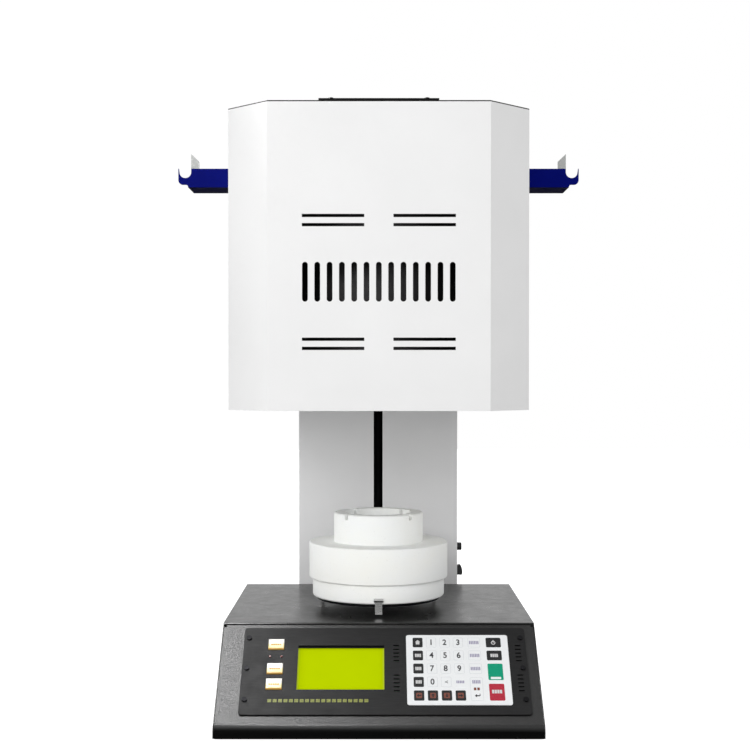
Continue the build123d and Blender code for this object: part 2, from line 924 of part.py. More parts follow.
with BuildPart() as shaft_coupling:
    with BuildSketch(Plane.XY.offset(coupling_z)):
        with Locations((0, screw_y)):
            Circle(coupling_radius)
    extrude(amount=coupling_height)
    with BuildSketch(Plane.XY.offset(coupling_z)):
        with Locations((0, screw_y)):
            Circle(shaft_radius + fit)
    extrude(amount=coupling_step, mode=Mode.SUBTRACT)
    with BuildSketch(Plane.XY.offset(journal_z)):
        with Locations((0, screw_y)):
            Circle(journal_radius + fit)
    extrude(amount=coupling_height - coupling_step, mode=Mode.SUBTRACT)
save(shaft_coupling, "shaft_coupling")

# Carriage with its bushings and the nut
with BuildPart() as lift_carriage:
    with BuildSketch(Plane.XY.offset(carriage_z)):
        with Locations((0, screw_y)):
            RectangleRounded(carriage_width, carriage_depth, 3)
            Circle(nut_radius + fit, mode=Mode.SUBTRACT)
            with GridLocations(rail_spread, 0, 2, 1):
                Circle(bushing_radius + fit, mode=Mode.SUBTRACT)
    extrude(amount=carriage_height)
save(lift_carriage, "lift_carriage")

with BuildPart() as carriage_bushings:
    with BuildSketch(Plane.XY.offset(carriage_z)):
        with Locations((0, screw_y)):
            with GridLocations(rail_spread, 0, 2, 1):
                Circle(bushing_radius)
                Circle(rail_radius + run_fit, mode=Mode.SUBTRACT)
    extrude(amount=carriage_height)
save(carriage_bushings, "carriage_bushings")

with BuildPart() as lift_nut:
    with BuildSketch(Plane.XY.offset(carriage_z + nut_rise)):
        with Locations((0, screw_y)):
            Circle(nut_radius)
    extrude(amount=carriage_height - nut_rise)
    with BuildSketch(Plane.XY.offset(carriage_z + carriage_height)):
        with Locations((0, screw_y)):
            Circle(nut_flange)
    extrude(amount=nut_flange_height)
    with BuildSketch(Plane.XY.offset(carriage_z)):
        with Locations((0, screw_y)):
            Circle(screw_radius + run_fit)
    extrude(amount=carriage_height + nut_flange_height, mode=Mode.SUBTRACT)
save(lift_nut, "lift_nut")

# Lift arm: one upright plate that passes through the column's slot
arm_back = screw_y - carriage_depth / 2
with BuildPart() as lift_arm:
    with BuildSketch(Plane.YZ):
        Polygon(
            (hearth_y - arm_reach, table_z), (hearth_y - arm_reach, table_z - arm_nose),
            (hearth_y - arm_reach + arm_nose_run, arm_z), (arm_back, arm_z),
            (arm_back, arm_z + arm_root), (column_y - slot_run, arm_z + arm_root),
            (hearth_y + plug_radius + arm_clasp, table_z),
            align=None,
        )
    extrude(amount=arm_thick / 2, both=True)
save(lift_arm, "lift_arm")

# Hearth table and the three spring clips that centre the bricks on it
with BuildPart() as hearth_table:
    with BuildSketch(Plane.XY.offset(table_z)):
        with Locations((0, hearth_y)):
            Circle(table_radius)
    extrude(amount=table_thick)
save(hearth_table, "hearth_table")

with BuildPart() as one_clip:
    clip_face = base_disc_radius + clip_gap
    clip_top = disc_z + clip_rise
    with BuildSketch(Plane.YZ.offset(clip_face)):
        with Locations((0, table_z - clip_drop)):
            Rectangle(
                clip_width, clip_top - clip_head_height / 2 - table_z + clip_drop,
                align=(Align.CENTER, Align.MIN),
            )
    extrude(amount=clip_thick)
    with BuildSketch(Plane.XZ):
        Polygon(
            (clip_face, clip_top - clip_head_height), (clip_face, clip_top - clip_head_height / 2),
            (clip_face + clip_flare, clip_top),
            (clip_face + clip_flare + clip_thick, clip_top - clip_head_height / 2),
            (clip_face + clip_thick, clip_top - clip_head_height), align=None,
        )
    extrude(amount=clip_head_width / 2, both=True)
    with BuildSketch(Plane.XY.offset(table_z)):
        with Locations((clip_face - clip_foot / 2, 0)):
            Rectangle(clip_foot, clip_width)
    extrude(amount=-clip_thick)

with BuildPart() as hearth_clips:
    with Locations((0, hearth_y, 0)):
        with PolarLocations(0, 3, -90):
            add(one_clip.part)
save(hearth_clips, "hearth_clips")

# Two refractory discs and the notched ring that carries the crucible
with BuildPart() as hearth_base_disc:
    with BuildSketch(Plane.XY.offset(disc_z)):
        with Locations((0, hearth_y)):
            Circle(base_disc_radius)
    extrude(amount=base_disc_height)
    chamfer(hearth_base_disc.edges().group_by(Axis.Z)[0], brick_edge)
save(hearth_base_disc, "hearth_base_disc")

with BuildPart() as hearth_plug_disc:
    with BuildSketch(Plane.XY.offset(plug_z)):
        with Locations((0, hearth_y)):
            Circle(plug_radius)
    extrude(amount=plug_height)
    chamfer(hearth_plug_disc.edges(), brick_edge)
save(hearth_plug_disc, "hearth_plug_disc")

with BuildPart() as hearth_ring:
    with BuildSketch(Plane.XY.offset(ring_z)):
        with Locations((0, hearth_y)):
            Circle(ring_radius)
    extrude(amount=ring_height)
    chamfer(hearth_ring.edges().group_by(Axis.Z)[-1], brick_edge)
    with BuildSketch(Plane.XY.offset(ring_top)):
        with Locations((0, hearth_y)):
            Circle(ring_bore)
    extrude(amount=-ring_recess, mode=Mode.SUBTRACT)
    with BuildSketch(Plane.XY.offset(ring_top)):
        with Locations((0, hearth_y)):
            with PolarLocations(0, 4, 45):
                Rectangle(2 * ring_radius, ring_notch, align=(Align.MIN, Align.CENTER))
    extrude(amount=-notch_depth, mode=Mode.SUBTRACT)
save(hearth_ring, "hearth_ring")

# Hood front: the front face and both cut corners, folded from one sheet, with its vents
with BuildPart() as hood_front_panel:
    extrude(hood_shell, amount=hood_height - sheet)
    extrude(hood_inside, amount=hood_height - sheet, mode=Mode.SUBTRACT)
    split(bisect_by=Plane.XZ.offset(-(hood_front_y + hood_chamfer)), keep=Keep.TOP)
    with BuildSketch(Plane.XZ.offset(-hood_front_y)):
        with Locations((0, hood_z + vent_high), (0, hood_z + vent_low)):
            with GridLocations(vent_spread, vent_pitch, 2, 2):
                Rectangle(vent_length, vent_height)
        with Locations((0, hood_z + grille_rise)):
            with GridLocations(grille_pitch, 0, grille_count, 1):
                SlotOverall(grille_height, grille_slot, rotation=90)
    extrude(amount=-sheet, mode=Mode.SUBTRACT)
save(hood_front_panel, "hood_front_panel")

# Hood sides, each with a folded top edge
side_front = hood_front_y + hood_chamfer + panel_fit
for name, hand in (("hood_side_left", -1), ("hood_side_right", 1)):
    with BuildPart() as panel:
        with BuildSketch(Plane.XZ.offset(-(column_y - sheet))):
            with Locations((hand * (hood_width / 2 - sheet / 2), hood_z)):
                Rectangle(sheet, hood_height - sheet, align=(Align.CENTER, Align.MIN))
            with Locations((hand * (hood_width / 2 - fold / 2), hood_top_z - 1.5 * sheet)):
                Rectangle(fold, sheet)
        extrude(amount=column_y - sheet - side_front)
    save(panel, name)

# Hood rear panel with a vent each side of the column
rear_vent_length = hood_width / 2 - side_x - 2 * rear_vent_margin
with BuildPart() as hood_rear_panel:
    with BuildSketch(Plane.XZ.offset(-column_y)):
        with Locations((0, hood_z)):
            Rectangle(hood_width, hood_height - sheet, align=(Align.CENTER, Align.MIN))
        with Locations((0, hood_z + vent_high)):
            with GridLocations(hood_width / 2 + side_x, rear_vent_pitch, 2, rear_vent_count):
                Rectangle(rear_vent_length, rear_vent_height, mode=Mode.SUBTRACT)
    extrude(amount=sheet)
save(hood_rear_panel, "hood_rear_panel")

# Hood floor with the round port that the hearth closes
hood_floor_plan = hood_outline(sheet + panel_fit / 2, hood_z)
with BuildPart() as hood_bottom_plate:
    extrude(hood_floor_plan, amount=hood_floor)
    with BuildSketch(Plane.XZ.offset(-column_y)):
        with Locations((0, hood_z)):
            Rectangle(hood_width, 2 * hood_floor)
    extrude(amount=sheet + panel_fit / 2, mode=Mode.SUBTRACT)
    with BuildSketch(Plane.XY.offset(hood_z)):
        with Locations((0, hearth_y)):
            Circle(port_radius)
    extrude(amount=hood_floor, mode=Mode.SUBTRACT)
save(hood_bottom_plate, "hood_bottom_plate")

# Hood top and the dark plate over the element terminals
with BuildPart() as hood_top_cover:
    extrude(hood_lid, amount=sheet)
save(hood_top_cover, "hood_top_cover")

with BuildPart() as terminal_cover:
    with BuildSketch(Plane.XY.offset(hood_top_z)):
        with Locations((0, hood_front_y)):
            Rectangle(lid_width, lid_depth, align=(Align.CENTER, Align.MIN))
        with Locations((0, hood_front_y + lid_depth / 2)):
            with GridLocations(0, lid_slot_pitch, 1, lid_slot_count):
                Rectangle(lid_slot_length, lid_slot_height, mode=Mode.SUBTRACT)
    extrude(amount=lid_thick)
    with BuildSketch(Plane.XY.offset(hood_top_z + lid_thick)):
        with Locations((0, hood_front_y + lid_depth / 2)):
            with GridLocations(
                lid_width - 2 * lid_screw_inset_x, lid_depth - 2 * lid_screw_inset_y, 2, 2
            ):
                Circle(screw_head)
    extrude(amount=screw_head_height)
save(terminal_cover, "terminal_cover")

# Muffle: steel casing, a wall of two stacked fibre rings, and the roof
muffle_z = hood_z + hood_floor
with BuildPart() as muffle_casing:
    with BuildSketch(Plane.XY.offset(muffle_z)):
        with Locations((0, hearth_y)):
            Circle(muffle_radius + fit + casing_wall)
            Circle(muffle_radius + fit, mode=Mode.SUBTRACT)
    extrude(amount=muffle_top - muffle_z)
    with BuildSketch(Plane.XY.offset(muffle_top)):
        with Locations((0, hearth_y)):
            Circle(muffle_radius + fit + casing_wall)
            Circle(muffle_radius - casing_lip, mode=Mode.SUBTRACT)
    extrude(amount=casing_wall)
save(muffle_casing, "muffle_casing")

# The lower ring is the hearth's port, the upper ring is the chamber's wall
with BuildPart() as muffle_insulation:
    with BuildSketch(Plane.XY.offset(muffle_z)):
        with Locations((0, hearth_y)):
            Circle(muffle_radius)
            Circle(port_radius, mode=Mode.SUBTRACT)
    extrude(amount=step_z - ring_joint - muffle_z)
    with BuildSketch(Plane.XY.offset(step_z)):
        with Locations((0, hearth_y)):
            Circle(muffle_radius)
            Circle(bore_radius, mode=Mode.SUBTRACT)
    extrude(amount=chamber_height)
save(muffle_insulation, "muffle_insulation")

probe_y = hearth_y + probe_place
passage_width = 2 * (cold_radius + roof_bore_gap)
with BuildPart() as muffle_roof:
    with BuildSketch(Plane.XY.offset(roof_z)):
        with Locations((0, hearth_y)):
            Circle(muffle_radius)
            with PolarLocations(0, element_count):
                with Locations((element_place, 0)):
                    Rectangle(passage_width, element_spread + passage_width, mode=Mode.SUBTRACT)
        with Locations((0, probe_y)):
            Circle(probe_radius + roof_bore_gap, mode=Mode.SUBTRACT)
    extrude(amount=roof_height)
save(muffle_roof, "muffle_roof")

# Heating elements: hairpins hung through the roof, each bend drawn as a few straight runs
hairpin_z = step_z + element_lift + element_spread / 2
cold_top = roof_z + cold_length
bend_angles = [radians(180 + 180 * n / bend_count) for n in range(bend_count + 1)]
bend = [
    (cos(angle) * element_spread / 2, hairpin_z + sin(angle) * element_spread / 2)
    for angle in bend_angles
]
with BuildPart() as one_element:
    with BuildLine(Plane.YZ.offset(element_place)) as hairpin:
        Polyline((-element_spread / 2, roof_z), *bend, (element_spread / 2, roof_z))
    with BuildSketch(Plane.XY.offset(roof_z)):
        with Locations((element_place, -element_spread / 2)):
            RegularPolygon(element_radius, element_sides)
    sweep(path=hairpin.wires()[0], transition=Transition.RIGHT)
    with BuildSketch(Plane.XY.offset(roof_z)):
        with Locations((element_place, 0)):
            with GridLocations(0, element_spread, 1, 2):
                Circle(cold_radius)
    extrude(amount=cold_length)

with BuildPart() as heating_elements:
    with Locations((0, hearth_y, 0)):
        with PolarLocations(0, element_count):
            add(one_element.part)
save(heating_elements, "heating_elements")

# Clamps on the elements' cold ends, joined in series by flat straps
clamp_z = cold_top - clamp_side
clamp_bore = 2 * (cold_radius + fit)
strap_angle = 180 / element_count
shank_angle = degrees(atan2(element_spread / 2, element_place))
shank_place = element_place / cos(radians(shank_angle))
strap_place = shank_place * cos(radians(strap_angle - shank_angle))
strap_length = 2 * shank_place * sin(radians(strap_angle - shank_angle)) + clamp_side / 2
with BuildPart() as element_clamps:
    with BuildSketch(Plane.XY.offset(clamp_z)):
        with Locations((0, hearth_y)):
            with PolarLocations(0, element_count):
                with Locations((element_place, 0)):
                    with GridLocations(0, element_spread, 1, 2):
                        Rectangle(clamp_side, clamp_side)
                        Rectangle(clamp_bore, clamp_bore, mode=Mode.SUBTRACT)
    extrude(amount=clamp_side)
    with BuildSketch(Plane.XY.offset(cold_top)):
        with Locations((0, hearth_y)):
            with PolarLocations(strap_place, element_count - 1, strap_angle, 240):
                Rectangle(strap_width, strap_length)
    extrude(amount=strap_thick)
save(element_clamps, "element_clamps")

# Thermocouple: a ceramic sheath through the roof under its connection head
with BuildPart() as thermocouple:
    with BuildSketch(Plane.XY.offset(muffle_top)):
        with Locations((0, probe_y)):
            Circle(head_radius)
    extrude(amount=head_height)
    with BuildSketch(Plane.XY.offset(muffle_top)):
        with Locations((0, probe_y)):
            Circle(probe_radius)
    extrude(amount=-(roof_height + probe_depth))
save(thermocouple, "thermocouple")

# Hooked arms on the hood's sides, each with a fence on top
arm_top = hood_z + arm_rise + arm_height
arm_base = hood_z + arm_rise
hook_x = hood_width / 2 + arm_length + hook_radius
hook_z = arm_top - hook_depth + hook_radius
for name, hand in (("side_arm_left", -1), ("side_arm_right", 1)):
    with BuildPart() as arm:
        with BuildSketch(Plane.XZ.offset(-(hearth_y + arm_width / 2))):
            with Locations((hand * (hood_width / 2 + arm_length / 2), arm_base + arm_height / 2)):
                Rectangle(arm_length, arm_height)
            with Locations((hand * hook_x, hook_z)):
                Circle(hook_radius + arm_wall)
            with Locations((hand * hook_x, arm_top)):
                Rectangle(
                    2 * (hook_radius + arm_wall), arm_top - hook_z, align=(Align.CENTER, Align.MAX)
                )
            with Locations((hand * hook_x, hook_z)):
                Circle(hook_radius, mode=Mode.SUBTRACT)
            with Locations((hand * hook_x, hook_z)):
                Rectangle(
                    2 * hook_radius, arm_height, align=(Align.CENTER, Align.MIN),
                    mode=Mode.SUBTRACT,
                )
            with Locations((hand * hook_x, arm_top)):
                Rectangle(
                    4 * hook_radius, arm_height, align=(Align.CENTER, Align.MIN),
                    mode=Mode.SUBTRACT,
                )
        extrude(amount=arm_width)
        with BuildSketch(Plane.YZ.offset(hand * hood_width / 2)):
            with Locations((hearth_y, arm_base + arm_height / 2)):
                Rectangle(arm_width - 2 * arm_wall, arm_height - 2 * arm_wall)
        extrude(amount=hand * (arm_length - arm_wall), mode=Mode.SUBTRACT)
        lower_edges = arm.edges().filter_by(Axis.Y).group_by(Axis.Z)[0].sort_by(Axis.X)
        fillet(lower_edges[0 if hand < 0 else -1], 2 * arm_wall)
    save(arm, name)

with BuildPart() as arm_fences:
    for hand in (-1, 1):
        outer = hood_width / 2 + arm_length
        with BuildSketch(Plane.XZ.offset(-(hearth_y + arm_width / 2))):
            Polygon(
                (hand * outer, arm_top), (hand * outer, arm_top + fence_height),
                (hand * (outer - fence_length), arm_top + fence_low),
                (hand * (outer - fence_length), arm_top), align=None,
            )
        extrude(amount=arm_width)
        with BuildSketch(Plane.XY.offset(arm_top)):
            with Locations((hand * (outer - arm_wall - fence_length), hearth_y)):
                Rectangle(2 * fence_length, arm_width - 2 * arm_wall)
        extrude(amount=fence_height, mode=Mode.SUBTRACT)
save(arm_fences, "arm_fences")

# Switch bezel and body, the rocker that tips in it, and the fuse holder
switch_y = column_y + switch_setback
switch_z = top_z + switch_rise
with BuildPart() as switch_bezel:
    with BuildSketch(Plane.YZ.offset(side_x)):
        with Locations((switch_y, switch_z)):
            RectangleRounded(switch_bezel_width, switch_bezel_height, bezel_corner)
    extrude(amount=bezel_proud)
    with BuildSketch(Plane.YZ.offset(side_x)):
        with Locations((switch_y, switch_z)):
            Rectangle(
                switch_bezel_width - bezel_rim - 2 * body_gap,
                switch_bezel_height - bezel_end - 2 * body_gap,
            )
    extrude(amount=-switch_depth)
    with BuildSketch(Plane.YZ.offset(side_x + bezel_proud)):
        with Locations((switch_y, switch_z)):
            Rectangle(switch_bezel_width - 2 * bezel_rim, 2 * (rocker_half + rocker_gap))
    extrude(amount=-switch_well, mode=Mode.SUBTRACT)
save(switch_bezel, "switch_bezel")

tilt = radians(rocker_tilt)
rocker_width = switch_bezel_width - 2 * bezel_rim - 2 * rocker_side_gap


def tipped(reach, rise):
    """A point of the rocker's side view after it has tipped about its pivot"""
    return (
        side_x + reach * cos(tilt) - rise * sin(tilt),
        switch_z + reach * sin(tilt) + rise * cos(tilt),
    )


with BuildPart() as power_rocker:
    with BuildSketch(Plane.XZ.offset(-(switch_y + rocker_width / 2))):
        Polygon(
            tipped(rocker_reach, -rocker_half), tipped(rocker_reach - rocker_dip, 0),
            tipped(rocker_reach, rocker_half),
            tipped(-rocker_shoulder, rocker_half - rocker_shoulder), tipped(-rocker_root, 0),
            tipped(-rocker_shoulder, rocker_shoulder - rocker_half), align=None,
        )
    extrude(amount=rocker_width)
save(power_rocker, "power_rocker")

with BuildPart() as fuse_holder:
    with BuildSketch(Plane.YZ.offset(side_x)):
        with Locations((switch_y, top_z + fuse_rise)):
            Circle(fuse_radius)
    extrude(amount=fuse_proud)
    chamfer(fuse_holder.edges().group_by(Axis.X)[-1], fuse_chamfer)
    with BuildSketch(Plane.YZ.offset(side_x)):
        with Locations((switch_y, top_z + fuse_rise)):
            Circle(fuse_radius - fuse_neck - fuse_neck_gap)
    extrude(amount=-fuse_depth)
save(fuse_holder, "fuse_holder")
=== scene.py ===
import bmesh
import bpy
from math import atan2, cos, pi, radians, sin
from mathutils import Matrix, Vector


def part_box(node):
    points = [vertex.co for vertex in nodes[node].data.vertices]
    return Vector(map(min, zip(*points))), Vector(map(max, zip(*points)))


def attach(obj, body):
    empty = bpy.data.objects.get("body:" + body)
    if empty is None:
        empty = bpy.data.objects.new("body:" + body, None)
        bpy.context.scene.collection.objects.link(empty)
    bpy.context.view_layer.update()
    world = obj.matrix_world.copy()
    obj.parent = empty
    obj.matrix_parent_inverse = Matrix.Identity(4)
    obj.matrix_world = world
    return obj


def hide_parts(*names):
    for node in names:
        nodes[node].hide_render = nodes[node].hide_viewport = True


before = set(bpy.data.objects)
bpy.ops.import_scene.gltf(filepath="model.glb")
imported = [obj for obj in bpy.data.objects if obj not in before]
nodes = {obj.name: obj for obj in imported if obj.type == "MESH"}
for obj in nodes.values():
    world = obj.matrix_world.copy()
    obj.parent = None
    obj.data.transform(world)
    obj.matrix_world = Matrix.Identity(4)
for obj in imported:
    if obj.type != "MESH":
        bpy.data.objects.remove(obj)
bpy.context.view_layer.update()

# Control panel, in metres: its plane starts at the slope's top edge
PANEL_RUN = 0.120
LIP_HEIGHT = 0.013
FILM_LIFT = 0.00006
FASCIA_THICK = 0.002
KEYPAD_THICK = 0.0008
KEY_PROUD = 0.00035

# Keypad, measured right from the middle and down from the slope's top edge
KEY_WIDTH = 0.0126
KEY_HEIGHT = 0.015
KEY_COLUMN = 0.017
KEY_ROW = 0.02005
KEY_FIRST_U = 0.0492
KEY_FIRST_V = 0.0342
KEY_CORNER = 0.0016
KEY_LINE = 0.00045
TEXT_KEY_U = 0.1203
TEXT_KEY_WIDTH = 0.0156
SIDE_KEY_U = 0.1449
SIDE_KEY_WIDTH = 0.0188
TALL_KEY_HEIGHT = 0.0344
WORK_KEY_HEIGHT = 0.0248

# Digits: size, added stroke and share of the font's width
DIGIT_SIZE = 0.0120
DIGIT_WEIGHT = 0.00027
DIGIT_WIDTH = 0.85

# Legends as rows of upright bars: each (width, bars) and, where it isn't the usual one, the gap
BAR_GAP = 0.0005
BAR_CORNER = 0.0002
LEGEND_HEIGHT = 0.0050
WIDE_LEGEND_HEIGHT = 0.0040
RED_LEGEND_HEIGHT = 0.0052
ENTER_MARK_HEIGHT = 0.0040
TEXT_LEGEND = (0.0125, 6)
ENTER_LEGEND = (0.0105, 5)
WIDE_LEGEND = (0.0102, 5)
DARK_LEGEND = (0.0078, 4, 0.0003)
SIDE_LEGEND = (0.0098, 4)
RED_LEGEND = (0.0128, 4)
ENTER_MARKS = (0.0085, 2, 0.0012)
ENTER_LEGEND_RISE = 0.0105
WIDE_LEGEND_SHIFT = 0.0003
RED_LEGEND_RISE = 0.0008

# Green key's bar and the arrow keys' fields, each (half width, height, corner)
GREEN_BAR = (0.0064, 0.0034, 0.0008)
GREEN_BAR_DROP = 0.0094
ARROW_FIELD = (0.0037, 0.0078, 0.0012)
ARROW_SIZE = 0.0056

# Icons: rounded rectangles as (width, height, corner), and drops below the key's centre
HOUSE_WALL = (0.0046, 0.0034, 0.0004)
HOUSE_WALL_DROP = 0.0012
HOUSE_ROOF = ((-0.0032, 0), (0.0032, 0), (0, 0.0034))
HOUSE_ROOF_DROP = -0.0006
RING_OUTER = (0.0056, 0.0056, 0.0028)
RING_INNER = (0.0036, 0.0036, 0.0018)
RING_DROP = 0.0004
STEM = (0.0011, 0.0040, 0.0004)
STEM_DROP = -0.0018
CHEVRON_SIZE = 0.0042
CHEVRON_LINE = 0.0011
RETURN_SIZE = 0.0062
RETURN_DROP = 0.0100
RISER = (0.0009, 0.0034, 0.0002)
RISER_SHIFT = 0.0035
RISER_DROP = 0.0087

# Fascia's printed row, buttons and display
ROW_START_U = -0.137
ROW_END_U = -0.012
ROW_V = 0.1211
DASH_COUNT = 19
DASH_HEIGHT = 0.0046
DASH_MARGIN = 0.0009
BUTTON_U = -0.1295
BUTTON_VS = {"button_top": 0.0367, "button_middle": 0.074, "button_bottom": 0.0971}
BUTTON_PROUD = 0.0022
BUTTON_MARK = (0.0135, 5, 0.0004)
BUTTON_MARK_HEIGHT = 0.0018
BUTTON_MARK_CORNER = 0.0003
BUTTON_MARK_DROP = 0.0012
SCREEN_U = -0.0474
SCREEN_V = 0.0713
SCREEN_HALF = (0.0542, 0.0334)
# Painted shadow along the screen's upper edge: its height, place and lift
SHADE_HEIGHT = 0.0030
SHADE_V = SCREEN_V - SCREEN_HALF[1] + SHADE_HEIGHT / 2
SHADE_LIFT = 0.00034

# Side arms: a folded box with a thin hooked plate on its front and a thin fence on top
ARM_WALL = 0.002
HOOK_RADIUS = 0.008
HOOK_CENTRE_DROP = 0.0046
LOBE_DROP = 0.0217
LOBE_CORNER = 0.0063
LIP_TIP = 0.0007
NECK_RADIUS = 0.003
FENCE_LENGTH = 0.0109
FENCE_INNER = 0.0095
ARC_STEPS = 14

# Power rocker: its pivot's height, its tilt in degrees, and its side view as (reach, rise)
ROCKER_PIVOT_Z = 0.1378
ROCKER_TILT = 11
ROCKER_SIDE = (
    (-0.002, -0.0062), (0.0066, -0.0082), (0.0079, -0.0076), (0.0092, -0.0045), (0.0096, 0),
    (0.0092, 0.0045), (0.0079, 0.0076), (0.0066, 0.0082), (-0.002, 0.0062), (-0.006, 0),
)

# Rounded edges: their widths, and in degrees the bend that is flat and the one that is an edge
SHEET_EDGE = 0.0006
COVER_EDGE = 0.0005
FASCIA_EDGE = 0.0004
CERAMIC_EDGE = 0.0022
CERAMIC_SEGMENTS = 4
WELD_DISTANCE = 0.00002
FLAT_ANGLE = 0.5
EDGE_ANGLE = 35

# Camera, fitted to the photo's edges
CAMERA_AT = (-0.00475, -1.8709, 0.4400)
CAMERA_PITCH = 0.84
CAMERA_LENS = 64.39
CAMERA_SENSOR = 36
CAMERA_SHIFT = 0.026

# Lights, each (place, aim, size, watts)
LIGHTS = {
    "key": ((-1.9, -1.7, 0.9), (0, -0.1, 0.45), (1.6, 1.2), 7),
    "low": ((-0.9, -2.4, 1.35), (0, 0, 0.2), (0.9, 0.7), 12),
    "front": ((0.2, -2.6, 0.7), (0, -0.1, 0.25), (1.6, 0.9), 6),
    "sheen": ((-0.40, -0.31, 1.0), (-0.21, -0.21, 0.06), (0.34, 0.3), 13),
}
GLOSS_ONLY = ("sheen",)

# World: strengths in front of and behind the furnace, the lean to one side, and where they blend
WORLD_FRONT = 0.72
WORLD_BEHIND = 1.0
WORLD_LEAN = 0.08
WALL_FROM = -0.15
WALL_TO = 0.45

# Floor sheet's half width
FLOOR_SIZE = 6

# Noise values between which a material goes from its first look to its second
BLEND_FROM = 0.3
BLEND_TO = 0.7

# Colour mix node's sockets: share, first colour and second colour
MIX_SOCKETS = (0, 6, 7)


def panel_matrix():
    """Local x right, y up the slope and z out of it, from the panel's own box"""
    low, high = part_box("base_front_panel")
    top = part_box("base_cover")[1].z
    angle = atan2(top - low.z - LIP_HEIGHT, PANEL_RUN)
    edge = Vector((0, low.y + PANEL_RUN, top))
    return Matrix.Translation(edge) @ Matrix.Rotation(angle, 4, "X")


PANEL = panel_matrix()
UPRIGHT = Matrix.Rotation(pi / 2, 4, "X")


# Node materials
class Shader:
    """A node material whose constants stand on the Principled shader's own sockets"""

    def __init__(self, name, **settings):
        self.material = bpy.data.materials.new(name)
        self.material.use_nodes = True
        self.tree = self.material.node_tree
        self.shader = self.tree.nodes["Principled BSDF"]
        self.place = self.add("ShaderNodeTexCoord").outputs["Object"]
        for key, value in settings.items():
            self.shader.inputs[key.replace("_", " ")].default_value = value

    def add(self, kind, inputs=None, **settings):
        made = self.tree.nodes.new(kind)
        for key, value in settings.items():
            setattr(made, key, value)
        for key, value in (inputs or {}).items():
            if isinstance(value, bpy.types.NodeSocket):
                self.tree.links.new(value, made.inputs[key])
            else:
                made.inputs[key].default_value = value
        return made

    def link(self, output, socket):
        self.tree.links.new(output, self.shader.inputs[socket])

    def stretched(self, scale):
        """The place scaled along each axis, for brushed or streaked textures"""
        return self.add("ShaderNodeMapping", {"Vector": self.place, "Scale": scale}).outputs[0]

    def noise(self, scale, detail=2.0, roughness=0.5, place=None):
        inputs = {"Vector": place or self.place, "Scale": scale, "Detail": detail}
        inputs["Roughness"] = roughness
        return self.add("ShaderNodeTexNoise", inputs).outputs["Fac"]

    def ramp(self, value, *stops):
        """A colour ramp of (position, grey or rgb) stops"""
        made = self.add("ShaderNodeValToRGB", {"Fac": value})
        points = made.color_ramp.elements
        while len(points) < len(stops):
            points.new(0.5)
        for point, (position, colour) in zip(points, stops):
            rgb = colour if isinstance(colour, tuple) else (colour,) * 3
            point.position = position
            point.color = (*rgb, 1)
        return made.outputs["Color"]

    def math(self, operation, a, b=0.0):
        return self.add("ShaderNodeMath", {0: a, 1: b}, operation=operation).outputs[0]

    def mix(self, share, a, b, kind="MIX"):
        """Two colours mixed by a share from 0 to 1"""
        colours = [c if isinstance(c, bpy.types.NodeSocket) else (*c, 1) for c in (a, b)]
        inputs = dict(zip(MIX_SOCKETS, (share, *colours)))
        return self.add("ShaderNodeMix", inputs, data_type="RGBA", blend_type=kind).outputs[2]

    def blend(self, value, dark, light):
        """A ramp between two looks over the middle of a noise"""
        return self.ramp(value, (BLEND_FROM, dark), (BLEND_TO, light))

    def colour(self, value, dark, light):
        self.link(self.blend(value, dark, light), "Base Color")

    def rough(self, value, low, high):
        self.link(self.blend(value, low, high), "Roughness")

    def bump(self, height, distance, strength=1.0):
        inputs = {"Height": height, "Distance": distance, "Strength": strength}
        self.link(self.add("ShaderNodeBump", inputs).outputs["Normal"], "Normal")

    def facing(self, axis, sign):
        """How far the surface faces along an axis, from -1 to 1"""
        normal = self.add("ShaderNodeTexCoord").outputs["Normal"]
        parts = self.add("ShaderNodeSeparateXYZ", {"Vector": normal})
        return self.math("MULTIPLY", parts.outputs[axis], sign)

    def glow(self, colour, strength):
        self.link(colour, "Emission Color")
        self.shader.inputs["Emission Strength"].default_value = strength


def powder_coat(name, dark, light, grain, depth, low_gloss, high_gloss, shine=0.4):
    """Sprayed powder paint: fine orange peel, faint handling marks"""
    paint = Shader(name, Specular_IOR_Level=shine)
    paint.colour(paint.noise(9, 4), dark, light)
    paint.rough(paint.noise(30, 5, 0.7), low_gloss, high_gloss)
    paint.bump(paint.noise(grain, 3, 0.6), depth)
    return paint.material


def navy_paint():
    """Deep blue powder paint of the arms, with painted shade that makes it near black where it
    faces down
    """
    paint = Shader("navy_coat", Specular_IOR_Level=0.01)
    tone = paint.blend(paint.noise(9, 4), (0.001, 0.003, 0.115), (0.002, 0.005, 0.16))
    # Painted shade: faces that look down go near black
    under = paint.ramp(paint.facing("Z", -1), (0.4, 0.0), (0.8, 1.0))
    paint.link(paint.mix(under, tone, (0.0003, 0.0004, 0.028)), "Base Color")
    paint.rough(paint.noise(30, 5, 0.7), 0.45, 0.6)
    paint.bump(paint.noise(600, 3, 0.6), 0.00006)
    return paint.material


def wrinkle_coat():
    """Wrinkle-finish black paint with a speckled sheen; where it faces the front it is duller and
    painted darker as shade
    """
    paint = Shader("wrinkle_black")
    fine = paint.noise(700, 3, 0.7)
    coarse = paint.noise(330, 2, 0.6)
    shares = (paint.math("MULTIPLY", fine, 0.6), paint.math("MULTIPLY", coarse, 0.4))
    wrinkles = paint.math("ADD", *shares)
    speckle = paint.ramp(wrinkles, (0.42, 0.006), (0.62, 0.012))
    upright = paint.facing("Y", -1)
    # Painted shade: front-facing faces, the lip, are darkened towards black
    front = paint.ramp(upright, (0.80, 0.0), (0.97, 1.0))
    paint.link(paint.mix(front, speckle, (0.0015, 0.0015, 0.0015)), "Base Color")
    paint.link(paint.ramp(upright, (0.80, 0.5), (0.97, 0.08)), "Specular IOR Level")
    paint.rough(wrinkles, 0.34, 0.55)
    paint.bump(wrinkles, 0.00035, 0.9)
    return paint.material


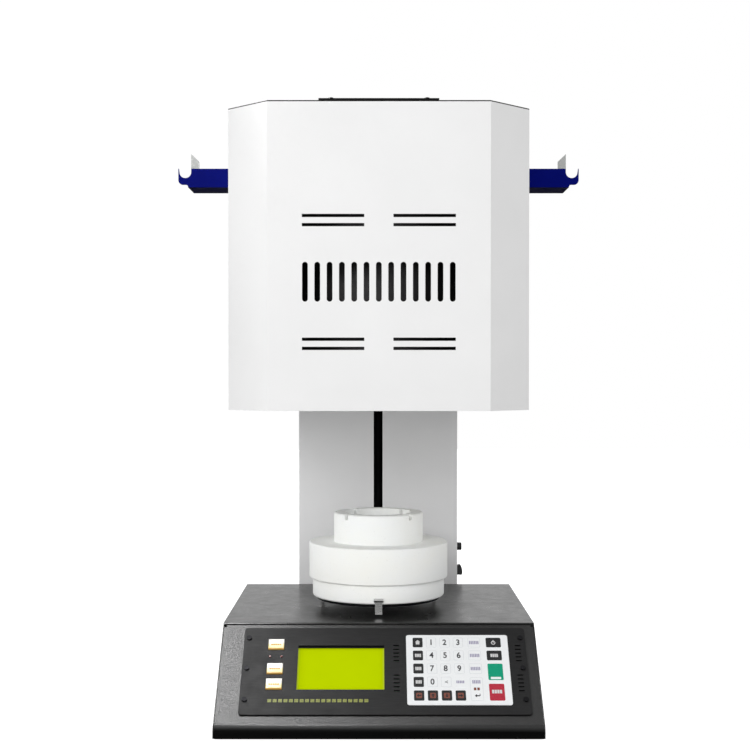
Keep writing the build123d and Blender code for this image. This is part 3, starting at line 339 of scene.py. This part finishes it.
def smooth_black():
    """Satin black sheet of the cabinet's top"""
    paint = Shader("satin_black", Specular_IOR_Level=0.5)
    paint.colour(paint.noise(14, 4), (0.010, 0.010, 0.010), (0.014, 0.014, 0.014))
    paint.rough(paint.noise(45, 5, 0.7), 0.26, 0.36)
    paint.bump(paint.noise(900, 2, 0.6), 0.00006)
    return paint.material


def fascia_coat():
    """Matte dark grey panel sheet with faint horizontal brushing, its edges painted near black as
    shade
    """
    paint = Shader("fascia_grey", Specular_IOR_Level=0.12)
    streak = paint.noise(60, 4, 0.6, paint.stretched((1, 14, 14)))
    sheet = paint.blend(streak, (0.014, 0.014, 0.0145), (0.020, 0.020, 0.0205))
    # Painted shade: faces turned away from the panel's plane, its edges, go near black
    outward = PANEL.to_3x3() @ Vector((0, 0, 1))
    normal = paint.add("ShaderNodeTexCoord").outputs["Normal"]
    flat = paint.add("ShaderNodeVectorMath", {0: normal, 1: outward}, operation="DOT_PRODUCT")
    top = paint.ramp(flat.outputs["Value"], (0.5, 0.0), (0.8, 1.0))
    paint.link(paint.mix(top, (0.001, 0.001, 0.001), sheet), "Base Color")
    paint.rough(paint.noise(40, 4, 0.7), 0.42, 0.58)
    paint.bump(paint.noise(1100, 2), 0.00004)
    return paint.material


def refractory(name, cool, warm, scale=1.0):
    """Pressed ceramic fibre: chalky, finely pitted, stained a little warm"""
    brick = Shader(name, Roughness=0.92, Specular_IOR_Level=0.15)
    stain = brick.ramp(brick.noise(11, 4, 0.6), (0.35, cool), (0.75, warm))
    pits = brick.ramp(brick.noise(420 * scale, 2, 0.8), (0.24, 0.88), (0.36, 1.0))
    brick.link(brick.mix(1, stain, pits, "MULTIPLY"), "Base Color")
    grain = brick.math("ADD", brick.noise(260 * scale, 5, 0.7), brick.noise(60 * scale, 3))
    brick.bump(grain, 0.0005, 0.6)
    return brick.material


def brushed(name, dark, light, rough=(0.24, 0.42), stretch=(1, 1, 30)):
    """Metal with fine lines along one axis and cloudy tarnish"""
    metal = Shader(name, Metallic=1)
    lines = metal.noise(120, 3, 0.7, metal.stretched(stretch))
    metal.colour(metal.noise(16, 4), dark, light)
    metal.rough(lines, *rough)
    metal.bump(lines, 0.00005, 0.5)
    return metal.material


def moulded(name, dark, light, rough=(0.4, 0.6), grain=1400):
    """Moulded plastic or rubber with a fine tool texture"""
    plastic = Shader(name, Specular_IOR_Level=0.4)
    plastic.colour(plastic.noise(30, 3), dark, light)
    plastic.rough(plastic.noise(90, 4), *rough)
    plastic.bump(plastic.noise(grain, 2), 0.00004)
    return plastic.material


def printed(name, dark, light, rough=(0.35, 0.45)):
    """Ink on the keypad or the fascia, slightly uneven; also the painted shadow at the screen's
    top
    """
    ink = Shader(name, Specular_IOR_Level=0.15)
    ink.colour(ink.noise(700, 2, 0.6), dark, light)
    ink.rough(ink.noise(200, 3), *rough)
    return ink.material


def panel_place(shader, u, v):
    """Distances right of and up from a point of the panel, read from the surface's place"""
    inverse = PANEL.inverted()
    parts = shader.add("ShaderNodeSeparateXYZ", {"Vector": shader.place})
    across = shader.math("SUBTRACT", parts.outputs["X"], u)
    depth = shader.math("MULTIPLY", parts.outputs["Y"], inverse[1][1])
    rise = shader.math("MULTIPLY", parts.outputs["Z"], inverse[1][2])
    up = shader.math("ADD", shader.math("ADD", depth, rise), inverse[1][3] + v)
    return across, up


def screen_glass():
    """Backlit yellow-green display, brighter along its rim"""
    glass = Shader("screen_green", Roughness=0.35, Specular_IOR_Level=0.0)
    across, up = panel_place(glass, SCREEN_U, SCREEN_V)
    far_x = glass.math("DIVIDE", glass.math("ABSOLUTE", across), SCREEN_HALF[0])
    far_y = glass.math("DIVIDE", glass.math("ABSOLUTE", up), SCREEN_HALF[1])
    edge = glass.math("MAXIMUM", far_x, far_y)
    middle = glass.mix(glass.noise(26, 3), (0.385, 0.505, 0.0), (0.425, 0.545, 0.0))
    rim = glass.ramp(edge, (0.955, 0.0), (0.985, 1.0))
    lit = glass.mix(rim, middle, (0.46, 0.56, 0.03))
    glass.link(lit, "Base Color")
    glass.glow(lit, 0.30)
    return glass.material


def button_plastic(name, v):
    """Translucent push cap, white above and amber below"""
    cap = Shader(name, Roughness=0.3, Coat_Weight=0.3, Coat_Roughness=0.1)
    up = panel_place(cap, BUTTON_U, v)[1]
    shade = cap.ramp(
        cap.math("ADD", cap.math("MULTIPLY", up, 60), 0.5),
        (0.08, (0.62, 0.34, 0.06)), (0.20, (0.92, 0.76, 0.28)), (0.44, (0.95, 0.84, 0.42)),
        (0.56, (0.94, 0.91, 0.80)), (0.85, (0.94, 0.93, 0.88)),
    )
    ripple = cap.math("MULTIPLY", cap.noise(160, 2), 0.15)
    cap.link(cap.mix(ripple, shade, (0.95, 0.80, 0.45)), "Base Color")
    cap.glow(shade, 0.12)
    return cap.material


# Mesh helpers
def rounded_outline(width, height, radius, steps=5):
    """Corners of a rounded rectangle, centred, anticlockwise"""
    points = []
    for quarter, (sx, sy) in enumerate(((1, 1), (-1, 1), (-1, -1), (1, -1))):
        centre = Vector((sx * (width / 2 - radius), sy * (height / 2 - radius)))
        for step in range(steps + 1):
            angle = (quarter + step / steps) * pi / 2
            points.append(centre + radius * Vector((cos(angle), sin(angle))))
    return points


def add_prism(bm, outline, centre, low, high):
    """A closed solid over an outline, from height low to high"""
    u, v = centre
    bottom, top = [
        [bm.verts.new((u + p[0], -v + p[1], z)) for p in outline] for z in (low, high)
    ]
    bm.faces.new(bottom[::-1])
    bm.faces.new(top)
    for i in range(len(outline)):
        bm.faces.new((bottom[i - 1], bottom[i], top[i], top[i - 1]))


def add_frame(bm, outer, inner, centre, low, high):
    """A closed ring-shaped solid between two outlines of as many corners"""
    u, v = centre
    loops = [
        [bm.verts.new((u + p[0], -v + p[1], z)) for p in outline]
        for outline, z in ((outer, low), (outer, high), (inner, high), (inner, low))
    ]
    for side in range(4):
        near, far = loops[side - 1], loops[side]
        for i in range(len(outer)):
            bm.faces.new((near[i - 1], near[i], far[i], far[i - 1]))


def finish_piece(bm, name, material, body="chassis", matrix=PANEL):
    """Turns built geometry into a piece with one material that rides on a body"""
    bmesh.ops.recalc_face_normals(bm, faces=bm.faces)
    mesh = bpy.data.meshes.new(name)
    bm.to_mesh(mesh)
    bm.free()
    mesh.transform(matrix)
    mesh.materials.append(material)
    piece = bpy.data.objects.new(name, mesh)
    bpy.context.scene.collection.objects.link(piece)
    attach(piece, body)
    return piece


def dress(material, *names):
    """Gives CAD nodes a material in all their slots"""
    for name in names:
        mesh = nodes[name].data
        mesh.materials.clear()
        mesh.materials.append(material)


def soften(width, *names, segments=2):
    """Rounds the CAD nodes' sharp edges by a modifier"""
    for name in names:
        piece = nodes[name]
        weld = piece.modifiers.new("weld", "WELD")
        weld.merge_threshold = WELD_DISTANCE
        flat = piece.modifiers.new("flat", "DECIMATE")
        flat.decimate_type = "DISSOLVE"
        flat.angle_limit = radians(FLAT_ANGLE)
        bevel = piece.modifiers.new("bevel", "BEVEL")
        bevel.width = width
        bevel.segments = segments
        bevel.limit_method = "ANGLE"
        bevel.angle_limit = radians(EDGE_ANGLE)
        bevel.harden_normals = True


# Materials for the whole furnace, with their dark and light tones
white = powder_coat(
    "white_coat", (0.79, 0.79, 0.79), (0.82, 0.82, 0.82), 650, 0.00005, 0.32, 0.42)
grey = powder_coat(
    "grey_coat", (0.88, 0.88, 0.885), (0.92, 0.92, 0.925), 520, 0.00012, 0.42, 0.55)
wrinkle = wrinkle_coat()
satin = smooth_black()
fascia = fascia_coat()
navy = navy_paint()
ceramic = refractory("hearth_ceramic", (0.97, 0.985, 0.98), (0.975, 0.975, 0.93))
fibre = refractory("muffle_fibre", (0.78, 0.77, 0.72), (0.84, 0.81, 0.72), 0.6)
sheath = refractory("sheath_ceramic", (0.80, 0.78, 0.72), (0.86, 0.83, 0.76), 1.5)
steel = brushed("brushed_steel", (0.50, 0.50, 0.50), (0.62, 0.62, 0.61))
clip_steel = brushed("clip_steel", (0.56, 0.56, 0.55), (0.70, 0.70, 0.69), (0.22, 0.4))
# Black steel: the fascia screws are black; the lead screw and hearth table are darkened as painted
# shade in the column slot and under the hearth
black_steel_and_shade = brushed("black_steel_and_painted_shade", (0.010, 0.010, 0.011), (0.022, 0.022, 0.024), (0.5, 0.7))
# Muffle casing darkened as painted shade, so the hood's slots look dark inside
casing_dark_as_shade = brushed("casing_steel", (0.05, 0.05, 0.055), (0.09, 0.085, 0.085), (0.4, 0.6))
zinc = brushed("zinc_steel", (0.46, 0.47, 0.48), (0.58, 0.59, 0.59), (0.35, 0.55), (1, 1, 1))
fence = powder_coat(
    "fence_coat", (0.40, 0.41, 0.40), (0.46, 0.47, 0.46), 700, 0.00005, 0.4, 0.55, 0.2)
alloy = brushed("machined_alloy", (0.60, 0.60, 0.61), (0.70, 0.70, 0.71), (0.3, 0.5), (1, 20, 1))
bronze = brushed("bronze", (0.42, 0.26, 0.10), (0.52, 0.33, 0.14), (0.25, 0.45), (1, 1, 12))
copper = brushed("copper_wire", (0.32, 0.12, 0.05), (0.48, 0.19, 0.08), (0.3, 0.45), (1, 1, 40))
core = moulded("core_varnish", (0.05, 0.05, 0.055), (0.10, 0.10, 0.11), (0.35, 0.6))
element = moulded("element_glaze", (0.05, 0.045, 0.045), (0.11, 0.10, 0.10), (0.2, 0.4))
black = moulded("black_plastic", (0.012, 0.012, 0.013), (0.022, 0.022, 0.024), (0.35, 0.5))
rubber = moulded("foot_rubber", (0.014, 0.014, 0.014), (0.026, 0.026, 0.026), (0.7, 0.85), 500)
board = moulded("board_green", (0.02, 0.12, 0.04), (0.03, 0.17, 0.06), (0.3, 0.45))
film = printed("keypad_film", (0.86, 0.88, 0.89), (0.90, 0.91, 0.92))
lens = moulded("indicator_lens", (0.10, 0.012, 0.010), (0.16, 0.02, 0.016), (0.1, 0.2))

dress(white, "hood_front_panel", "hood_side_left", "hood_side_right", "hood_rear_panel")
dress(grey, "column_cover", "column_rear_cover")
dress(wrinkle, "base_front_panel", "base_rear_panel", "hood_top_cover", "terminal_cover")
dress(satin, "base_cover")
dress(fascia, "fascia_plate")
dress(ceramic, "hearth_base_disc", "hearth_plug_disc", "hearth_ring")
dress(fibre, "muffle_insulation", "muffle_roof")
dress(sheath, "thermocouple")
dress(casing_dark_as_shade, "muffle_casing")
dress(steel, "hood_bottom_plate", "guide_rails", "screw_bearings", "carriage_bushings")
dress(black_steel_and_shade, "lead_screw", "hearth_table", "fascia_screws")
dress(clip_steel, "hearth_clips")
dress(zinc, "base_tray", "column_posts", "lift_arm")
dress(alloy, "power_controller", "lower_bearing_block", "upper_bearing_block", "lift_carriage")
dress(alloy, "shaft_coupling", "element_clamps")
dress(bronze, "lift_nut")
dress(copper, "transformer_coils")
dress(core, "transformer_core", "lift_motor")
dress(element, "heating_elements")
dress(black, "fan_frame", "fan_rotor", "button_switches", "limit_switches")
dress(black, "mains_inlet", "switch_bezel", "fuse_holder")
dress(rubber, "rubber_feet")
dress(board, "control_board")
dress(film, "keypad_overlay")
dress(lens, "indicator_lenses")
dress(screen_glass(), "lcd_screen")
for name, v in BUTTON_VS.items():
    dress(button_plastic(name + "_plastic", v), name)

soften(SHEET_EDGE, "hood_front_panel", "hood_side_left", "hood_side_right", "hood_rear_panel")
soften(SHEET_EDGE, "base_cover", "base_front_panel", "column_cover")
soften(FASCIA_EDGE, "fascia_plate")
soften(CERAMIC_EDGE, "hearth_base_disc", "hearth_plug_disc", segments=CERAMIC_SEGMENTS)
soften(COVER_EDGE, "hood_top_cover", "terminal_cover", "hood_bottom_plate")


# Printed keypad
def key_places():
    """Centres of the keypad's small keys by (column, row)"""
    return {
        (column, row): (KEY_FIRST_U + KEY_COLUMN * column, KEY_FIRST_V + KEY_ROW * row)
        for column in range(4) for row in range(5)
    }


KEY_TOP = FASCIA_THICK + KEYPAD_THICK + KEY_PROUD
INK_TOP = KEY_TOP + FILM_LIFT
SECOND_INK_TOP = INK_TOP + FILM_LIFT
THIRD_INK_TOP = INK_TOP + 2 * FILM_LIFT
LAST_KEY_V = KEY_FIRST_V + 4 * KEY_ROW + KEY_HEIGHT / 2
GREEN_V = KEY_FIRST_V + 2 * KEY_ROW - KEY_HEIGHT / 2 + WORK_KEY_HEIGHT / 2
RED_V = LAST_KEY_V - WORK_KEY_HEIGHT / 2
ENTER_V = LAST_KEY_V - TALL_KEY_HEIGHT / 2
places = key_places()
dark_keys = [places[0, row] for row in range(4)] + [places[column, 4] for column in range(4)]
side_dark_keys = [(SIDE_KEY_U, KEY_FIRST_V + KEY_ROW * row) for row in range(2)]
pale_keys = [
    places[column, row] for column in (1, 2, 3) for row in range(4) if (column, row) != (3, 3)
]
text_keys = [(TEXT_KEY_U, KEY_FIRST_V + KEY_ROW * row) for row in range(3)]


def key_film(name, material, keys, width, height):
    """Printed faces laid on keys of one size"""
    bm = bmesh.new()
    outline = rounded_outline(width, height, KEY_CORNER)
    for place in keys:
        add_prism(bm, outline, place, KEY_TOP, INK_TOP)
    finish_piece(bm, name, material)


dark_ink = printed("dark_key_ink", (0.018, 0.019, 0.020), (0.030, 0.031, 0.032))
green_ink = printed("green_key_ink", (0.0, 0.30, 0.17), (0.004, 0.36, 0.20))
red_ink = printed("red_key_ink", (0.42, 0.022, 0.045), (0.52, 0.034, 0.060))
line_ink = printed("key_line_ink", (0.66, 0.68, 0.70), (0.74, 0.76, 0.78))
digit_ink = printed("digit_ink", (0.035, 0.035, 0.040), (0.07, 0.07, 0.075))
mauve_ink = printed("mauve_ink", (0.32, 0.30, 0.42), (0.42, 0.40, 0.52))
pale_ink = printed("pale_ink", (0.60, 0.60, 0.60), (0.72, 0.72, 0.72))
rose_ink = printed("rose_ink", (0.17, 0.055, 0.040), (0.25, 0.085, 0.060))
olive_ink = printed("olive_ink", (0.16, 0.18, 0.03), (0.34, 0.36, 0.10))
amber_ink = printed("amber_ink", (0.62, 0.30, 0.03), (0.72, 0.40, 0.05))

key_film("dark_key_faces", dark_ink, dark_keys, KEY_WIDTH, KEY_HEIGHT)
key_film("side_key_faces", dark_ink, side_dark_keys, SIDE_KEY_WIDTH, KEY_HEIGHT)
key_film("green_key_face", green_ink, [(SIDE_KEY_U, GREEN_V)], SIDE_KEY_WIDTH, WORK_KEY_HEIGHT)
key_film("red_key_face", red_ink, [(SIDE_KEY_U, RED_V)], SIDE_KEY_WIDTH, WORK_KEY_HEIGHT)


def key_borders():
    """Thin grey borders of the pale keys"""
    bm = bmesh.new()
    sizes = [(p, KEY_WIDTH, KEY_HEIGHT) for p in pale_keys]
    sizes += [(p, TEXT_KEY_WIDTH, KEY_HEIGHT) for p in text_keys]
    sizes.append(((TEXT_KEY_U, ENTER_V), TEXT_KEY_WIDTH, TALL_KEY_HEIGHT))
    for place, width, height in sizes:
        outer = rounded_outline(width, height, KEY_CORNER)
        inner_size = (width - 2 * KEY_LINE, height - 2 * KEY_LINE)
        inner = rounded_outline(*inner_size, KEY_CORNER - KEY_LINE)
        add_frame(bm, outer, inner, place, KEY_TOP, INK_TOP)
    finish_piece(bm, "key_borders", line_ink)


key_borders()


def digits():
    """The ten digits, set from outline text and joined as one mesh"""
    bm = bmesh.new()
    narrow = Matrix.Diagonal((DIGIT_WIDTH, 1, 1, 1))
    order = {(1 + i % 3, i // 3): str(i + 1) for i in range(9)}
    order[1, 3] = "0"
    for place, digit in order.items():
        text = bpy.data.curves.new("digit", "FONT")
        text.body = digit
        text.size = DIGIT_SIZE
        text.align_x = "CENTER"
        text.align_y = "CENTER"
        text.extrude = FILM_LIFT / 2
        text.offset = DIGIT_WEIGHT
        holder = bpy.data.objects.new("digit", text)
        mesh = bpy.data.meshes.new_from_object(holder)
        u, v = places[place]
        mesh.transform(Matrix.Translation((u, -v, KEY_TOP + FILM_LIFT / 2)) @ narrow)
        bm.from_mesh(mesh)
        bpy.data.objects.remove(holder)
        bpy.data.meshes.remove(mesh)
    finish_piece(bm, "key_digits", digit_ink)


digits()


def bars(name, material, rows, height, lift, radius=BAR_CORNER):
    """Short printed bars, each (left u, right u, v)"""
    bm = bmesh.new()
    for left, right, v in rows:
        outline = rounded_outline(right - left, height, radius, 3)
        add_prism(bm, outline, ((left + right) / 2, v), lift, lift + FILM_LIFT)
    finish_piece(bm, name, material)


def fields(name, material, centres, size):
    """Printed fields on centres, all of one (half width, height, corner)"""
    half, height, corner = size
    bars(name, material, [(u - half, u + half, v) for u, v in centres], height, INK_TOP,
         radius=corner)


def word_bars(centre, width, count, gap=BAR_GAP):
    """A row of equal upright bars, standing where a key has its legend"""
    u, v = centre
    step = width / count
    return [
        (u - width / 2 + step * i + gap / 2, u - width / 2 + step * (i + 1) - gap / 2, v)
        for i in range(count)
    ]


mauve_rows = [bar for key in text_keys for bar in word_bars(key, *TEXT_LEGEND)]
mauve_rows += word_bars((TEXT_KEY_U, ENTER_V - ENTER_LEGEND_RISE), *ENTER_LEGEND)
bars("text_key_legends", mauve_ink, mauve_rows, LEGEND_HEIGHT, KEY_TOP)
wide_u, wide_v = places[3, 3]
wide_rows = word_bars((wide_u + WIDE_LEGEND_SHIFT, wide_v), *WIDE_LEGEND)
bars("wide_key_legend", mauve_ink, wide_rows, WIDE_LEGEND_HEIGHT, KEY_TOP)
pale_rows = [bar for key in dark_keys[1:4] for bar in word_bars(key, *DARK_LEGEND)]
pale_rows += word_bars(side_dark_keys[1], *SIDE_LEGEND)
bars("dark_key_legends", pale_ink, pale_rows, LEGEND_HEIGHT, INK_TOP)
red_rows = word_bars((SIDE_KEY_U, RED_V - RED_LEGEND_RISE), *RED_LEGEND)
bars("red_key_legend", pale_ink, red_rows, RED_LEGEND_HEIGHT, INK_TOP)
fields("green_key_bar", film, [(SIDE_KEY_U, GREEN_V + GREEN_BAR_DROP)], GREEN_BAR)


def arrow(turn, size):
    """Outline of an arrow that points right, turned by quarter turns"""
    points = [
        (-0.5, -0.13), (0.05, -0.13), (0.05, -0.42), (0.5, 0), (0.05, 0.42), (0.05, 0.13),
        (-0.5, 0.13),
    ]
    spin = Matrix.Rotation(turn * pi / 2, 2)
    return [spin @ Vector(p) * size for p in points]


def arrows():
    """Direction arrows on the four dark keys of the bottom row"""
    bm = bmesh.new()
    for turn, column in ((2, 0), (1, 1), (3, 2), (0, 3)):
        add_prism(bm, arrow(turn, ARROW_SIZE), places[column, 4], INK_TOP, THIRD_INK_TOP)
    finish_piece(bm, "arrow_marks", dark_ink)


arrows()
fields("arrow_fields", rose_ink, dark_keys[4:], ARROW_FIELD)


def plain_icons():
    """A house on the first dark key, and a ring with a stem on the first side key"""
    bm = bmesh.new()
    u, v = places[0, 0]
    for outline, drop in (
        (rounded_outline(*HOUSE_WALL), HOUSE_WALL_DROP), (HOUSE_ROOF, HOUSE_ROOF_DROP)
    ):
        add_prism(bm, outline, (u, v + drop), INK_TOP, SECOND_INK_TOP)
    u, v = side_dark_keys[0]
    outer, inner = rounded_outline(*RING_OUTER), rounded_outline(*RING_INNER)
    add_frame(bm, outer, inner, (u, v + RING_DROP), INK_TOP, SECOND_INK_TOP)
    add_prism(bm, rounded_outline(*STEM), (u, v + STEM_DROP), INK_TOP, THIRD_INK_TOP)
    finish_piece(bm, "key_icons", pale_ink)


plain_icons()


def chevron(size, line):
    """Outline of a less-than sign"""
    return [
        (size / 2, size / 2), (size / 2, size / 2 - line), (-size / 2 + line, 0),
        (size / 2, -size / 2 + line), (size / 2, -size / 2), (-size / 2, 0),
    ]


def return_mark():
    """Backspace chevron and the return arrow of the tall key"""
    bm = bmesh.new()
    riser_place = (TEXT_KEY_U + RISER_SHIFT, ENTER_V + RISER_DROP)
    for outline, place in (
        (chevron(CHEVRON_SIZE, CHEVRON_LINE), places[2, 3]),
        (arrow(2, RETURN_SIZE), (TEXT_KEY_U, ENTER_V + RETURN_DROP)),
        (rounded_outline(*RISER), riser_place),
    ):
        add_prism(bm, outline, place, KEY_TOP, INK_TOP)
    finish_piece(bm, "return_mark", digit_ink)


return_mark()
enter_rows = word_bars((TEXT_KEY_U, ENTER_V), *ENTER_MARKS)
bars("enter_key_marks", rose_ink, enter_rows, ENTER_MARK_HEIGHT, KEY_TOP)


# Fascia print: a row of short olive dashes under the screen; and a painted shadow along the
# screen's upper edge
row_place = ((ROW_START_U + ROW_END_U) / 2, ROW_V)
dashes = word_bars(row_place, ROW_END_U - ROW_START_U, DASH_COUNT, 2 * DASH_MARGIN)
bars("fascia_dashes", olive_ink, dashes, DASH_HEIGHT, FASCIA_THICK)

shade_ink = printed("recess_shade", (0.0015, 0.0015, 0.0015), (0.003, 0.003, 0.003), (0.8, 0.9))
shade_row = (SCREEN_U - SCREEN_HALF[0], SCREEN_U + SCREEN_HALF[0], SHADE_V)
bars("screen_shade", shade_ink, [shade_row], SHADE_HEIGHT, SHADE_LIFT)

# Amber mark line on each push button
BUTTON_TOP = FASCIA_THICK + BUTTON_PROUD
for name, v in BUTTON_VS.items():
    bm = bmesh.new()
    for left, right, mark_v in word_bars((BUTTON_U, v + BUTTON_MARK_DROP), *BUTTON_MARK):
        outline = rounded_outline(right - left, BUTTON_MARK_HEIGHT, BUTTON_MARK_CORNER, 2)
        place = ((left + right) / 2, mark_v)
        add_prism(bm, outline, place, BUTTON_TOP, BUTTON_TOP + FILM_LIFT)
    body = name.replace("button_", "") + "_button"
    finish_piece(bm, name + "_mark", amber_ink, body=body)


# Side arms
def arc(centre, radius, start, end):
    """Points of an arc from one angle in degrees to another"""
    steps = [start + (end - start) * step / ARC_STEPS for step in range(ARC_STEPS + 1)]
    return [
        (centre[0] + radius * cos(radians(a)), centre[1] + radius * sin(radians(a))) for a in steps
    ]


def side_arm(name, hand):
    """Folded box with the hooked plate that closes its front, inside the CAD arm's box"""
    low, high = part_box(name)
    root = min(abs(low.x), abs(high.x))
    reach = max(abs(low.x), abs(high.x))
    hook = (reach - LIP_TIP * 2 - HOOK_RADIUS, high.z - HOOK_CENTRE_DROP)
    end = hook[0] - HOOK_RADIUS
    lobe = high.z - LOBE_DROP
    neck = (hook[0] - LIP_TIP, lobe - NECK_RADIUS)
    foot = neck[0] - NECK_RADIUS
    plate = [(root, low.z), (root, high.z), (end, high.z)]
    plate += arc(hook, HOOK_RADIUS, 180, 360)
    plate += [(reach - LIP_TIP, high.z), (reach, high.z)]
    plate += arc((reach - LOBE_CORNER, lobe + LOBE_CORNER), LOBE_CORNER, 0, -90)
    plate += arc(neck, NECK_RADIUS, 90, 180)
    plate.append((foot, low.z))
    box = [
        (root, low.z), (root, high.z), (end, high.z), (end, low.z + ARM_WALL),
        (foot, low.z + ARM_WALL), (foot, low.z),
    ]
    bm = bmesh.new()
    for outline, front, back in (
        (plate, low.y, low.y + ARM_WALL), (box, low.y + ARM_WALL, high.y)
    ):
        add_prism(bm, [(hand * p[0], p[1]) for p in outline], (0, 0), -back, -front)
    piece = finish_piece(bm, name + "_hooked", navy, matrix=UPRIGHT)
    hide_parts(name)
    return hand * end, high.z, low.y


def fences(ends):
    """Thin upright plates on the arms' ends, each with a sloped top"""
    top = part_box("arm_fences")[1].z
    bm = bmesh.new()
    for end, base, front in ends:
        inner = end - FENCE_LENGTH * (1 if end > 0 else -1)
        outline = [(end, base), (end, top), (inner, base + FENCE_INNER), (inner, base)]
        add_prism(bm, outline, (0, 0), -front - ARM_WALL, -front)
    piece = finish_piece(bm, "arm_fence_plates", fence, matrix=UPRIGHT)
    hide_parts("arm_fences")


def rocker():
    """Crowned rocker, tipped about its pivot"""
    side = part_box("column_cover")[1].x
    low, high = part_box("power_rocker")
    spin = Matrix.Rotation(radians(ROCKER_TILT), 2)
    outline = [Vector((side, ROCKER_PIVOT_Z)) + spin @ Vector(point) for point in ROCKER_SIDE]
    bm = bmesh.new()
    add_prism(bm, outline, (0, 0), -high.y, -low.y)
    piece = finish_piece(bm, "rocker_cap", black, "rocker", UPRIGHT)
    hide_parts("power_rocker")


rocker()
fences([side_arm("side_arm_left", -1), side_arm("side_arm_right", 1)])


# Studio
def studio_light(name, place, aim, size, watts):
    lamp = bpy.data.lights.new(name, "AREA")
    lamp.shape = "RECTANGLE"
    lamp.size, lamp.size_y = size
    lamp.energy = watts
    holder = bpy.data.objects.new(name, lamp)
    holder.location = place
    holder.rotation_euler = (Vector(aim) - Vector(place)).to_track_quat("-Z", "Y").to_euler()
    holder.visible_diffuse = name not in GLOSS_ONLY
    bpy.context.scene.collection.objects.link(holder)


def studio_world():
    """White for the camera; the light itself is a white wall behind and a dimmer room in front"""
    world = bpy.data.worlds.new("studio")
    world.use_nodes = True
    tree = world.node_tree
    background = tree.nodes["Background"]

    def math(operation, a, b):
        made = tree.nodes.new("ShaderNodeMath")
        made.operation = operation
        for socket, value in zip(made.inputs, (a, b)):
            if isinstance(value, bpy.types.NodeSocket):
                tree.links.new(value, socket)
            else:
                socket.default_value = value
        return made.outputs[0]

    heading = tree.nodes.new("ShaderNodeTexCoord").outputs["Generated"]
    parts = tree.nodes.new("ShaderNodeSeparateXYZ")
    tree.links.new(heading, parts.inputs[0])
    wall = tree.nodes.new("ShaderNodeMapRange")
    wall.interpolation_type = "SMOOTHSTEP"
    limits = {
        "From Min": WALL_FROM, "From Max": WALL_TO, "To Min": WORLD_FRONT, "To Max": WORLD_BEHIND
    }
    for socket, value in limits.items():
        wall.inputs[socket].default_value = value
    tree.links.new(parts.outputs["Y"], wall.inputs["Value"])
    lean = math("MULTIPLY", parts.outputs["X"], WORLD_LEAN)
    path = tree.nodes.new("ShaderNodeLightPath")
    tilted = math("SUBTRACT", wall.outputs["Result"], lean)
    level = math("MAXIMUM", tilted, path.outputs["Is Camera Ray"])
    tree.links.new(level, background.inputs["Strength"])
    background.inputs["Color"].default_value = (1, 1, 1, 1)
    bpy.context.scene.world = world


def floor():
    """A plain pale sheet under the furnace, white to the camera as the photo's ground is"""
    bm = bmesh.new()
    bmesh.ops.create_grid(bm, x_segments=8, y_segments=8, size=FLOOR_SIZE)
    mesh = bpy.data.meshes.new("floor")
    bm.to_mesh(mesh)
    bm.free()
    paper = Shader("floor_paper", Roughness=0.9, Specular_IOR_Level=0.1)
    path = paper.add("ShaderNodeLightPath")
    pale = paper.blend(paper.noise(3, 2), 0.70, 0.74)
    paper.link(paper.mix(path.outputs["Is Glossy Ray"], pale, (0.05, 0.05, 0.05)), "Base Color")
    strength = paper.math("MULTIPLY", path.outputs["Is Camera Ray"], 0.95)
    paper.shader.inputs["Emission Color"].default_value = (1, 1, 1, 1)
    paper.link(strength, "Emission Strength")
    mesh.materials.append(paper.material)
    piece = bpy.data.objects.new("floor", mesh)
    bpy.context.scene.collection.objects.link(piece)


floor()
studio_world()
for name, settings in LIGHTS.items():
    studio_light(name, *settings)

camera = bpy.data.cameras.new("camera")
camera.lens = CAMERA_LENS
camera.sensor_width = CAMERA_SENSOR
camera.shift_y = CAMERA_SHIFT
camera_object = bpy.data.objects.new("camera", camera)
camera_object.location = CAMERA_AT
camera_object.rotation_euler = (radians(90 - CAMERA_PITCH), 0, 0)
bpy.context.scene.collection.objects.link(camera_object)
bpy.context.scene.camera = camera_object
bpy.context.scene.view_settings.view_transform = "Standard"
